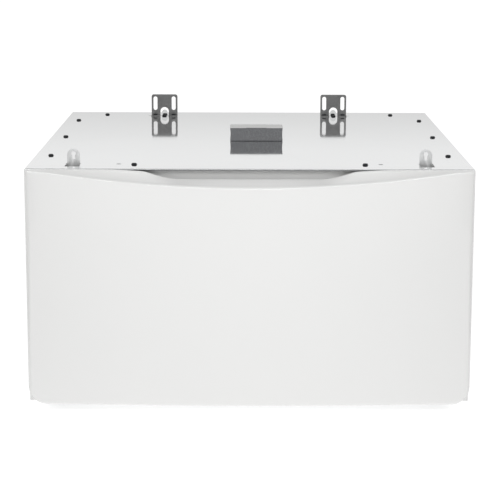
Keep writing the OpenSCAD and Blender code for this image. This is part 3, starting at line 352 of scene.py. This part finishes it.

# %% [markdown]
# The block on the top sheet is closed-cell foam. Its cut sides show torn cells about a millimetre
# across, drawn twice as coarse so that they still show. Its top faces are painted a paler grey:
# painted light, for the light that falls on them from above.

# %% Foam
cut_foam, tree, shader, place = start_finish("cut_polyethylene_foam", "#717274", 0.95)
cells = add_node(tree, "ShaderNodeTexVoronoi", {"Vector": place, "Scale": 1000 / 2.0})
vary_colour(tree, cells.outputs["Distance"], "#616264", "#797a7c", shader.inputs["Base Color"])
feel(tree, cells.outputs["Distance"], 0.25, shader)

# Painted light: a paler grey for the top faces, which are lit from above.
foam_top_painted_light, tree, shader, place = start_finish("foam_top_painted_lighter", "#d9d9d8", 0.6)
vary_colour(tree, noise(tree, place, 7), "#d1d1d0", "#e0e0df", shader.inputs["Base Color"])
feel(tree, noise(tree, place, 3), 0.1, shader)

# %% [markdown]
# Rubber comes from its mould matt and a little dusty. Moulded acetal has the fine grain of its
# spark-eroded mould, and the balls of the slides are ground and polished.

# %% Rubber, acetal and polished balls
rubber, tree, shader, place = start_finish("moulded_black_rubber", "#2a2a2b", 0.75)
vary_colour(tree, noise(tree, place, 5), "#242425", "#353536", shader.inputs["Base Color"])
feel(tree, noise(tree, place, 0.7), 0.03, shader)

acetal, tree, shader, place = start_finish("moulded_black_acetal", "#1d1d1f", 0.45)
vary(tree, noise(tree, place, 8), 0.4, 0.52, shader.inputs["Roughness"])
feel(tree, noise(tree, place, 0.5), 0.02, shader)

ball_steel, tree, shader, place = start_finish("polished_bearing_steel", "#cfd2d3", 0.12, 1.0)
vary(tree, noise(tree, place, 1), 0.08, 0.2, shader.inputs["Roughness"])

# %% Give each carried-over solid its finish by its slot in the record
finish_of_slot = {
    "bright_sheet": bright_sheet, "white_enamel": white_enamel, "galvanised_sheet": galvanised,
    "zinc_plate": zinc_plate, "dark_steel": dark_steel, "black_screw": black_oxide,
    "grey_foam": cut_foam, "black_rubber": rubber, "black_plastic": acetal, "bearing_steel": ball_steel,
}
for name, solid in nodes.items():
    solid.data.materials.clear()
    solid.data.materials.append(finish_of_slot[slot_of_node[name]])
print("finishes on", len(slot_of_node), "solids")

# %% [markdown]
# ## Helpers for pieces
# A new piece takes over from a solid of the frame: it rides on the same body, hides the solid, and
# names the same slot. Where one node holds several screws, each screw's own box says where it goes.

# %% Hand a piece over, and find the separate solids of a node
def take_over(piece, node, finish=None):
    """The piece stands for the node, on its body and in its slot."""
    if not piece.data.materials:
        piece.data.materials.append(finish or finish_of_slot[slot_of_node[node]])
    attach(piece, nodes[node]["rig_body"])
    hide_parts(node)
    return piece


def solids_of(node):
    """(lowest corner, highest corner) of each separate solid of a node."""
    mesh = nodes[node].data
    spot = {}
    point = [spot.setdefault(tuple(round(c, 6) for c in v.co), len(spot)) for v in mesh.vertices]
    group = list(range(len(spot)))

    def top(i):
        while group[i] != i:
            group[i] = group[group[i]]
            i = group[i]
        return i

    for face in mesh.polygons:
        first = top(point[face.vertices[0]])
        for corner in face.vertices[1:]:
            group[top(point[corner])] = first
    sets = {}
    for corner, i in spot.items():
        sets.setdefault(top(i), []).append(corner)
    boxes = [(Vector([min(p[k] for p in s) for k in range(3)]),
              Vector([max(p[k] for p in s) for k in range(3)])) for s in sets.values()]
    return sorted(boxes, key=lambda box: tuple(round(c, 4) for c in box[0]))


screw_corners = [low for low, high in solids_of("top_panel_screws")]
print("top screws stand at", [tuple(round(c / MM) for c in low[:2]) for low in screw_corners])

# %% [markdown]
# Round parts start as a flat disc. The disc is extruded and scaled once for each change of height
# or radius, as a lathe would cut them, so one function makes screws, pads, stems and buffers.

# %% Turn a part on the lathe, join parts, and copy a finished one to its places
def turned(name, steps, sides=40):
    """A round solid about Z. steps gives (height, radius) in mm, from its lower end up."""
    bpy.ops.object.select_all(action="DESELECT")
    z, r = steps[0]
    bpy.ops.mesh.primitive_circle_add(vertices=sides, radius=r * MM, fill_type="NGON",
                                      location=(0, 0, z * MM))
    part = bpy.context.object
    part.name = name
    bpy.ops.object.transform_apply(location=True)
    bpy.ops.object.mode_set(mode="EDIT")
    bpy.ops.mesh.select_all(action="SELECT")
    for z_next, r_next in steps[1:]:
        bpy.ops.mesh.extrude_region_move(TRANSFORM_OT_translate={"value": (0, 0, (z_next - z) * MM)})
        bpy.ops.transform.resize(value=(r_next / r, r_next / r, 1), center_override=(0, 0, z_next * MM))
        z, r = z_next, r_next
    bpy.ops.mesh.select_all(action="SELECT")
    bpy.ops.mesh.normals_make_consistent(inside=False)
    bpy.ops.object.mode_set(mode="OBJECT")
    return part


def joined(name, parts, smooth_deg=35):
    """Several closed shells as one piece, smooth but for its sharp edges."""
    bpy.ops.object.select_all(action="DESELECT")
    for part in parts:
        part.select_set(True)
    bpy.context.view_layer.objects.active = parts[0]
    if len(parts) > 1:
        bpy.ops.object.join()
    piece = bpy.context.object
    piece.name = name
    bpy.ops.object.shade_smooth_by_angle(angle=math.radians(smooth_deg))
    return piece


def copied(master, name, where):
    """A copy with its own mesh, put in place in its mesh by the matrix where."""
    twin = master.copy()
    twin.data = master.data.copy()
    twin.name = name
    twin.data.transform(where)
    twin.data.update()
    scene.collection.objects.link(twin)
    return twin


# %% [markdown]
# ## The drawer's front
# The face is one pressed sheet: bowed 28 mm in plan, turned in along a crest that arcs down to the
# middle, and sculpted behind the crest into a hollow for the fingers, whose rim the hand pulls.
# A flat grid is the right start for a sheet. Each of its points is moved to where the sheet goes, so
# the reflections run without a ripple. Solidify then gives the steel its 2 mm with the turned edge.

# %% Sizes of the face, in mm
SIDE = 343.0                        # half the width
FACE, SKIN_REAR = -332.0, -335.0    # Y of the cabinet's front edge and of the back of the drawer's skin
BOW, SAG = 28.0, 12.0               # how far the face bows out, and how much less at its two ends
LOW_END, TOP = 12.0, 381.0          # heights of the face's lower edge and of the top sheet
END_R, CORNER_R, LOW_R, CREST_R, RIM_R = 6.0, 28.0, 6.0, 4.0, 1.0
LIP = 12.0                          # height of the rim's turned-down lip
RIM_DROP, SCOOP_DROP = 0.05, 15.0   # how far the rim lies below the top sheet
CREST_FALL, CREST_ARC = 24.6, 2110  # the crest's drop in the middle, and the radius of its arc
CREST_EASE, CREST_OVER = 3, 0.4     # how softly the arc ends, and how far it tops the rim there
SCOOP_AT_CREST, SCOOP_AT_RIM = 125, 160         # where the scoop ends, from the middle
END_AT_CREST, END_AT_RIM = 18, 58               # over what width it ends
DIP, DIP_START, DIP_END = 2.2, 220, 150         # the rim dips a little before the scoop
SIDE_POWER, SCOOP_POWER = 2.1, 1.3  # how late the sheet rises from crest to rim


def rounded_off(x, half, r):
    """How far an edge rounded to radius r has turned away at x."""
    over = max(0.0, abs(x) - (half - r))
    return r - math.sqrt(max(0.0, r * r - over * over))


def soft(v, e):
    """Half the distance above zero, easing in over e, so that a curve ends without a kink."""
    return (v + math.sqrt(v * v + e * e)) / 2


def crest_height(x):
    """Height of the crest, where the sheet turns in."""
    at_side = TOP - RIM_DROP + CREST_OVER
    return at_side - soft(at_side - (TOP - CREST_FALL) - x * x / (2 * CREST_ARC), CREST_EASE)


def scoop(x, t):
    """Share of the finger scoop at x, t of the way from the crest to the rim."""
    edge = SCOOP_AT_CREST + (SCOOP_AT_RIM - SCOOP_AT_CREST) * t
    end_width = END_AT_CREST + (END_AT_RIM - END_AT_CREST) * t
    return 1 - (1 - min(1.0, soft((edge - abs(x)) / end_width, 0.1))) ** 2


def sculpted_height(x, t):
    """Height of the sheet at x, t of the way from the crest to the rim."""
    start, s = crest_height(x), scoop(x, t)
    near = min(1.0, max(0.0, (DIP_START - abs(x)) / (DIP_START - DIP_END)))
    rim = TOP - RIM_DROP - DIP * near * near * (3 - 2 * near)
    beside = start + (rim - start) * t ** SIDE_POWER
    hollow = start + (TOP - SCOOP_DROP - start) * t ** SCOOP_POWER
    return beside * (1 - s) + hollow * s


# %% One section of the face, from the back of its lower edge round the front to the lip
def section(x):
    """Points (y, z) in mm, the same count at every x."""
    y = FACE - BOW + SAG * (x / SIDE) ** 2 + rounded_off(x, SIDE, END_R)
    low = LOW_END + rounded_off(x, SIDE, CORNER_R)
    crest = crest_height(x)
    deep = SKIN_REAR - y
    points = [(SKIN_REAR, low)]
    for i in range(9):
        a = math.radians(90 * i / 8)
        points.append((y + LOW_R - LOW_R * math.sin(a), low + LOW_R - LOW_R * math.cos(a)))
    for i in range(1, 24):
        points.append((y, low + LOW_R + (crest - CREST_R - low - LOW_R) * i / 24))
    for i in range(9):
        a = math.radians(60 * i / 8)
        points.append((y + CREST_R - CREST_R * math.cos(a), crest - CREST_R + CREST_R * math.sin(a)))
    for i in range(41):
        t = (CREST_R + (deep - CREST_R - RIM_R) * i / 40) / deep
        points.append((y + deep * t, sculpted_height(x, t)))
    before, rim = points[-1][1], sculpted_height(x, 1)
    for u in (0.25, 0.5, 0.75):
        points.append((SKIN_REAR - RIM_R * (1 - u) ** 2,
                       before * (1 - u) ** 2 + 2 * u * (1 - u) * rim + (rim - RIM_R) * u * u))
    points += [(SKIN_REAR, rim - RIM_R - (LIP - RIM_R) * i / 3) for i in range(4)]
    return points


straight = SIDE - CORNER_R
stations = [straight * i / 140 for i in range(-140, 141)]
ends = [straight + CORNER_R * math.sin(math.radians(90 * i / 12)) for i in range(1, 13)]
stations = [-x for x in reversed(ends)] + stations + ends
across, up = len(stations), len(section(0))
print("the face is a sheet of", across, "by", up, "points")

# %% Lay the grid over the sections, close its ends and give it thickness
bpy.ops.object.select_all(action="DESELECT")
bpy.ops.mesh.primitive_grid_add(x_subdivisions=across - 1, y_subdivisions=up - 1, size=1)
face_piece = bpy.context.object
face_piece.name = "drawer_face"
sections = [section(x) for x in stations]
for v in face_piece.data.vertices:
    i, j = round((v.co.x + 0.5) * (across - 1)), round((v.co.y + 0.5) * (up - 1))
    y, z = sections[i][j]
    v.co = Vector((stations[i], y, z)) * MM
bpy.ops.object.mode_set(mode="EDIT")
for side in (-1, 1):
    bpy.ops.mesh.select_all(action="DESELECT")
    bpy.ops.object.mode_set(mode="OBJECT")
    for v in face_piece.data.vertices:
        v.select = abs(v.co.x - side * SIDE * MM) < 1e-6
    bpy.ops.object.mode_set(mode="EDIT")
    bpy.ops.mesh.edge_face_add()
bpy.ops.object.mode_set(mode="OBJECT")
middle = min(face_piece.data.polygons, key=lambda f: (f.center - FACE_MIDDLE).length)
if middle.normal.y > 0:             # the sheet's outside has to look forward
    bpy.ops.object.mode_set(mode="EDIT")
    bpy.ops.mesh.select_all(action="SELECT")
    bpy.ops.mesh.flip_normals()
    bpy.ops.object.mode_set(mode="OBJECT")
caps = [f for f in face_piece.data.polygons if len(f.vertices) > 4]
print("end caps look along X:", [round(f.normal.x) for f in caps])
for cap in caps:
    if cap.normal.x * cap.center.x < 0:
        cap.flip()
wall = face_piece.modifiers.new("wall", "SOLIDIFY")
wall.thickness = 2 * MM
wall.offset = -1
wall.use_even_offset = True
bpy.ops.object.modifier_apply(modifier="wall")
bpy.ops.object.shade_smooth_by_angle(angle=math.radians(40))
take_over(face_piece, "drawer_front_skin")
print("drawer face", len(face_piece.data.polygons), "faces")

# %% [markdown]
# ## Screws and rivets
# The top sheet is held by hexagon screws with a washer formed on the head. The blank is turned with
# its washer, the hexagon is a six-sided part with its corners cut back, and its top is dimpled by
# the die that formed it. The thread's turns are drawn as rings.

# %% The hexagon screw
def thread_rings(z_low, z_high, r, pitch, depth):
    """Heights and radii of thread crests and roots between two heights, in mm."""
    count = max(1, int((z_high - z_low) / pitch))
    rings = []
    for i in range(count):
        z = z_low + (z_high - z_low) * i / count
        rings += [(z + 0.15 * pitch, r - depth), (z + 0.5 * pitch, r), (z + 0.85 * pitch, r - depth)]
    return rings


HEAD = 2.4                          # height of the head with its washer, in mm
HEX_CORNER_R = 7 / 2 / math.cos(math.radians(30))   # of a hexagon 7 mm across its flats
threaded = thread_rings(-9.5, -0.6, 1.8, 1.4, 0.35)
shank = turned("shank", [(-11, 0.5), (-9.6, 1.3)] + threaded + [(-0.4, 1.5), (0.1, 1.5)], 24)
washer = turned("washer", [(0, 4.45), (0.1, 4.6), (0.4, 4.6), (0.6, 4.35), (0.62, 3.2)], 48)
hexagon = turned("hexagon", [(0.5, HEX_CORNER_R), (HEAD - 0.35, HEX_CORNER_R), (HEAD, 3.45),
                             (HEAD, 2.9), (HEAD - 0.3, 2.5)], 6)
hex_screw = joined("hex_screw", [washer, shank, hexagon])

# %% Drive them home, each stopped at another angle
for node, label, twist_deg in (("top_panel_screws", "top_screw", 17),
                               ("rear_bracket_screws", "bracket_screw", 23)):
    places = solids_of(node)
    for number, (low, high) in enumerate(places, 1):
        spot = Vector(((low.x + high.x) / 2, (low.y + high.y) / 2, high.z - HEAD * MM))
        twist = Matrix.Rotation(math.radians(twist_deg * number), 4, "Z")
        take_over(copied(hex_screw, f"{label}_{number}", Matrix.Translation(spot) @ twist), node)
    print(len(places), "hexagon screws in", node)
bpy.data.objects.remove(hex_screw)

# %% [markdown]
# The back panel, the slides and the drawer are held by low round heads with a cross recess. The
# recess is cut with a cross of two tapered bars, as the punch that strikes it is shaped.

# %% The round-headed screw, and the plain rivet
dome = [(0, 3.85), (0.25, 4.0), (0.8, 3.95), (1.35, 3.5), (1.75, 2.6), (1.95, 1.5), (2.0, 0.6)]
head = turned("head", dome, 40)
bars = []
for quarter in (0, 1):
    bpy.ops.object.select_all(action="DESELECT")
    bpy.ops.mesh.primitive_cube_add(size=1, location=(0, 0, 1.7 * MM))
    bar = bpy.context.object
    bar.scale = (4.2 * MM, 0.8 * MM, 1.6 * MM)
    bar.rotation_euler = (0, 0, math.radians(90 * quarter))
    bpy.ops.object.transform_apply(location=True, rotation=True, scale=True)
    for v in bar.data.vertices:     # the punch narrows towards its tip
        if v.co.z < 1.0 * MM:
            v.co.x *= 0.5
            v.co.y *= 0.5
    bars.append(bar)
for bar in bars:
    cut = head.modifiers.new("cut", "BOOLEAN")
    cut.operation = "DIFFERENCE"
    cut.object = bar
    bpy.context.view_layer.objects.active = head
    bpy.ops.object.modifier_apply(modifier="cut")
    bpy.data.objects.remove(bar)
pan_shank = turned("pan_shank", [(-4, 0.9)] + thread_rings(-3.9, -0.2, 1.8, 1.2, 0.3) + [(0.2, 1.5)], 24)
pan_screw = joined("pan_screw", [head, pan_shank], 30)
rivet = joined("rivet", [turned("rivet_head", [(-2, 1.8), (-0.05, 1.8), (0, 3.7), (0.2, 3.95), (0.7, 3.7),
                                               (1.15, 2.8), (1.4, 1.6), (1.5, 0.5)], 32)], 30)


# %% Put them where the frame has theirs
def put_heads(master, node, towards, head_mm):
    """Copies of a head on each solid of a node; towards is the direction that the heads face."""
    aim = Vector(towards).to_track_quat("Z", "Y").to_matrix().to_4x4()
    for number, (low, high) in enumerate(solids_of(node), 1):
        spot = (low + high) / 2
        for k in range(3):
            if towards[k]:
                outside = high[k] if towards[k] > 0 else low[k]
                spot[k] = outside - towards[k] * head_mm * MM
        take_over(copied(master, f"{node}_{number}", Matrix.Translation(spot) @ aim), node)


put_heads(pan_screw, "back_panel_screws", (0, 1, 0), 2)
put_heads(pan_screw, "drawer_front_screws", (0, 1, 0), 2)
for number, (low, high) in enumerate(solids_of("drawer_corner_rivets"), 1):
    spot = Vector(((low.x + high.x) / 2, low.y + 2 * MM, (low.z + high.z) / 2))
    aim = Matrix.Rotation(math.radians(90), 4, "X")
    take_over(copied(rivet, f"corner_rivet_{number}", Matrix.Translation(spot) @ aim), "drawer_corner_rivets")
for node, master, head_mm, inward in (("slide_inner_screws", pan_screw, 2, True),
                                      ("slide_outer_rivets", rivet, 1.5, False)):
    for number, (low, high) in enumerate(solids_of(node), 1):
        side = 1 if low.x > 0 else -1
        faces = -side if inward else side
        x = (high.x if faces > 0 else low.x) - faces * head_mm * MM
        aim = Vector((faces, 0, 0)).to_track_quat("Z", "Y").to_matrix().to_4x4()
        spot = Vector((x, (low.y + high.y) / 2, (low.z + high.z) / 2))
        take_over(copied(master, f"{node}_{number}", Matrix.Translation(spot) @ aim), node)
bpy.data.objects.remove(pan_screw)
bpy.data.objects.remove(rivet)

# %% [markdown]
# ## The foam block
# A block sawn from foam is never quite true: its edges are a little soft, its sides draw in and
# its top crowns. A cube is cut into small faces, and each point is moved a fraction of a
# millimetre by how far it lies from the middle. The top faces are painted paler: painted light
# from above.

# %% The foam block
low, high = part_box("foam_block")
bpy.ops.object.select_all(action="DESELECT")
bpy.ops.mesh.primitive_cube_add(size=1, location=(low + high) / 2)
block = bpy.context.object
block.name = "foam_pad"
block.scale = high - low
bpy.ops.object.transform_apply(location=True, rotation=True, scale=True)
edge = block.modifiers.new("edge", "BEVEL")
edge.width, edge.segments = 1.6 * MM, 4
bpy.ops.object.modifier_apply(modifier="edge")
bpy.ops.object.mode_set(mode="EDIT")
bpy.ops.mesh.select_all(action="SELECT")
bpy.ops.mesh.subdivide(number_cuts=9)
bpy.ops.object.mode_set(mode="OBJECT")
centre, half = (low + high) / 2, (high - low) / 2
for v in block.data.vertices:
    u, w, h = ((v.co[k] - centre[k]) / half[k] for k in range(3))
    round_plan = max(0.0, 1 - u * u) * max(0.0, 1 - w * w)
    if h > 0:                       # the top is full in the middle and falls to its edges
        v.co.z -= 1.1 * MM * h * (1 - round_plan)
    draw_in = 0.9 * MM * (1 - h * h)    # the sides draw in at half height
    v.co.x -= math.copysign(draw_in, u) * abs(u) ** 3
    v.co.y -= math.copysign(draw_in, w) * abs(w) ** 3
block.data.materials.append(cut_foam)
block.data.materials.append(foam_top_painted_light)
# Faces that look up get the paler grey, painted light on the top.
for f in block.data.polygons:
    f.material_index = 1 if f.normal.z > 0.8 else 0
bpy.ops.object.shade_smooth_by_angle(angle=math.radians(40))
take_over(block, "foam_block")
print("foam", [round(s / MM, 1) for s in high - low], "mm")

# %% [markdown]
# ## Legs
# Each leg is a rubber pad, a screwed stem with a hexagon that a spanner turns, and a lock nut. All
# are turned once and copied to the four corners.

# %% Pad and stem
pad = turned("pad", [(0, 17.3), (0.5, 18.3), (1.5, 19), (2.4, 19), (2.6, 18.6), (3.0, 18.6), (3.2, 19),
                     (4.1, 19), (4.3, 18.6), (4.6, 18.6), (4.8, 19), (5, 19), (6.2, 17.4), (7, 15),
                     (7, 7.6), (7.4, 7), (11.5, 7), (12, 6.5), (12, 4.2), (4.6, 4.1)], 64)
pad = joined("pad", [pad], 32)
SPANNER_CORNER_R = 16 / 2 / math.cos(math.radians(30))     # of a hexagon 16 mm across its flats
threaded = thread_rings(17.3, 56.2, 4.76, 1.5875, 0.75)
thread = turned("thread", [(16.9, 4.2)] + threaded + [(56.4, 3.9), (57.3, 3.1)], 32)
end = turned("end", [(4.9, 3.4), (5.4, 4), (12.6, 4)], 32)
collar = turned("collar", [(12.3, 7.7), (12.7, SPANNER_CORNER_R), (16.9, SPANNER_CORNER_R),
                           (17.3, 7.7), (17.3, 5.2)], 6)
stem = joined("stem", [end, collar, thread], 35)

# %% [markdown]
# The nut's corners are rounded off by the intersection of a hexagon with a turned blank, which
# leaves the curved bright edges of a real nut. A turned bar then cuts its bore.

# %% The lock nut
nut = turned("nut", [(17.6, SPANNER_CORNER_R), (23.1, SPANNER_CORNER_R)], 6)
blank = turned("blank", [(17.5, 7.6), (18.7, 9.6), (22.0, 9.6), (23.2, 7.6)], 64)
bore = turned("bore", [(17, 5.6), (17.6, 5.5), (18.3, 4.86), (22.4, 4.86), (23.1, 5.5), (24, 5.6)], 48)
for tool, way in ((blank, "INTERSECT"), (bore, "DIFFERENCE")):
    cut = nut.modifiers.new("cut", "BOOLEAN")
    cut.operation, cut.object = way, tool
    bpy.context.view_layer.objects.active = nut
    bpy.ops.object.modifier_apply(modifier="cut")
    bpy.data.objects.remove(tool)
nut = joined("nut", [nut], 30)

# %% Copy them to the four corners
for end_name in ("front", "rear"):
    for side_name in ("left", "right"):
        corner = f"{end_name}_{side_name}"
        low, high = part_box(f"leg_foot_{corner}")
        put = Matrix.Translation(((low.x + high.x) / 2, (low.y + high.y) / 2, 0))
        for master, node in ((pad, "leg_foot"), (stem, "leg_stem"), (nut, "lock_nut")):
            take_over(copied(master, f"{node}_{corner}_turned", put), f"{node}_{corner}")
for master in (pad, stem, nut):
    bpy.data.objects.remove(master)
print("four legs")

# %% [markdown]
# The drawer closes on four rubber buffers, pushed into holes of the front returns. Each has a
# domed nose, and behind it a thin stud that fills the hole.

# %% Buffers
BUFFER_NOSE = 2.7                   # how far the nose stands out, in mm
buffer_piece = turned("buffer", [(-2.6, 1.2), (-2.2, 1.8), (-0.05, 1.75), (0, 4.4), (0.4, 4.9), (1.2, 5.0),
                                 (1.9, 4.6), (2.4, 3.6), (2.65, 2.0), (2.7, 0.8)], 40)
buffer_piece = joined("buffer", [buffer_piece], 40)
for number, (low, high) in enumerate(solids_of("drawer_buffers"), 1):
    spot = Vector(((low.x + high.x) / 2, low.y + BUFFER_NOSE * MM, (low.z + high.z) / 2))
    aim = Matrix.Rotation(math.radians(90), 4, "X")
    take_over(copied(buffer_piece, f"buffer_{number}", Matrix.Translation(spot) @ aim), "drawer_buffers")
bpy.data.objects.remove(buffer_piece)
print("buffers", len(solids_of("drawer_buffers")))

# %% [markdown]
# ## Soft edges
# No bent or punched sheet has a perfectly sharp edge, and it is the thin bright line along each
# edge that makes a picture look real. A copy of the solid is merged into one skin, its flat faces are
# joined up, a bevel modifier rounds each sharp edge by a few tenths of a millimetre, and the result
# stands for the solid. Slides and cages keep their edges and only get smooth curves.

# %% A function that copies a solid and softens its edges
def soften(name, edge_mm, finish=None):
    """A copy of the named solid, its edges rounded by edge_mm, that stands for it."""
    bpy.ops.object.select_all(action="DESELECT")
    piece = nodes[name].copy()
    piece.data = nodes[name].data.copy()
    piece.parent = None
    for key in list(piece.keys()):
        del piece[key]
    piece.name = name + "_soft"
    scene.collection.objects.link(piece)
    piece.select_set(True)
    bpy.context.view_layer.objects.active = piece
    bpy.ops.object.mode_set(mode="EDIT")
    bpy.ops.mesh.select_all(action="SELECT")
    bpy.ops.mesh.remove_doubles(threshold=0.005 * MM)
    bpy.ops.mesh.dissolve_limited(angle_limit=math.radians(1))
    bpy.ops.object.mode_set(mode="OBJECT")
    if edge_mm:
        rounding = piece.modifiers.new("edge", "BEVEL")
        rounding.width = edge_mm * MM
        rounding.segments = 2
        rounding.limit_method = "ANGLE"
        rounding.angle_limit = math.radians(35)
        rounding.use_clamp_overlap = True
        bpy.ops.object.modifier_apply(modifier="edge")
    bpy.ops.object.shade_smooth_by_angle(angle=math.radians(32))
    if finish:
        piece.data.materials.clear()
    return take_over(piece, name, finish)


# %% Soften the sheets, brackets, lugs and levers
edges = {"back_panel": 0.4, "front_rail_upper": 0.3, "front_rail_lower": 0.3, "drawer_back": 0.3,
         "drawer_bottom": 0.25, "drawer_front_liner": 0.3}
for side_name in ("left", "right"):
    edges.update({f"side_panel_{side_name}": 0.4, f"drawer_side_{side_name}": 0.3,
                  f"rear_bracket_{side_name}": 0.4, f"slide_carrier_{side_name}": 0.3,
                  f"slide_outer_{side_name}": 0, f"slide_middle_{side_name}": 0,
                  f"slide_inner_{side_name}": 0, f"ball_cage_outer_{side_name}": 0,
                  f"ball_cage_inner_{side_name}": 0, f"release_lever_{side_name}": 0.5})
    edges.update({f"leg_plate_{end_name}_{side_name}": 0.5 for end_name in ("front", "rear")})
    soften(f"front_lug_{side_name}", 0.35, bright_plate)
made = {name: len(soften(name, edge_mm).data.polygons) for name, edge_mm in edges.items()}
print("softened", made)
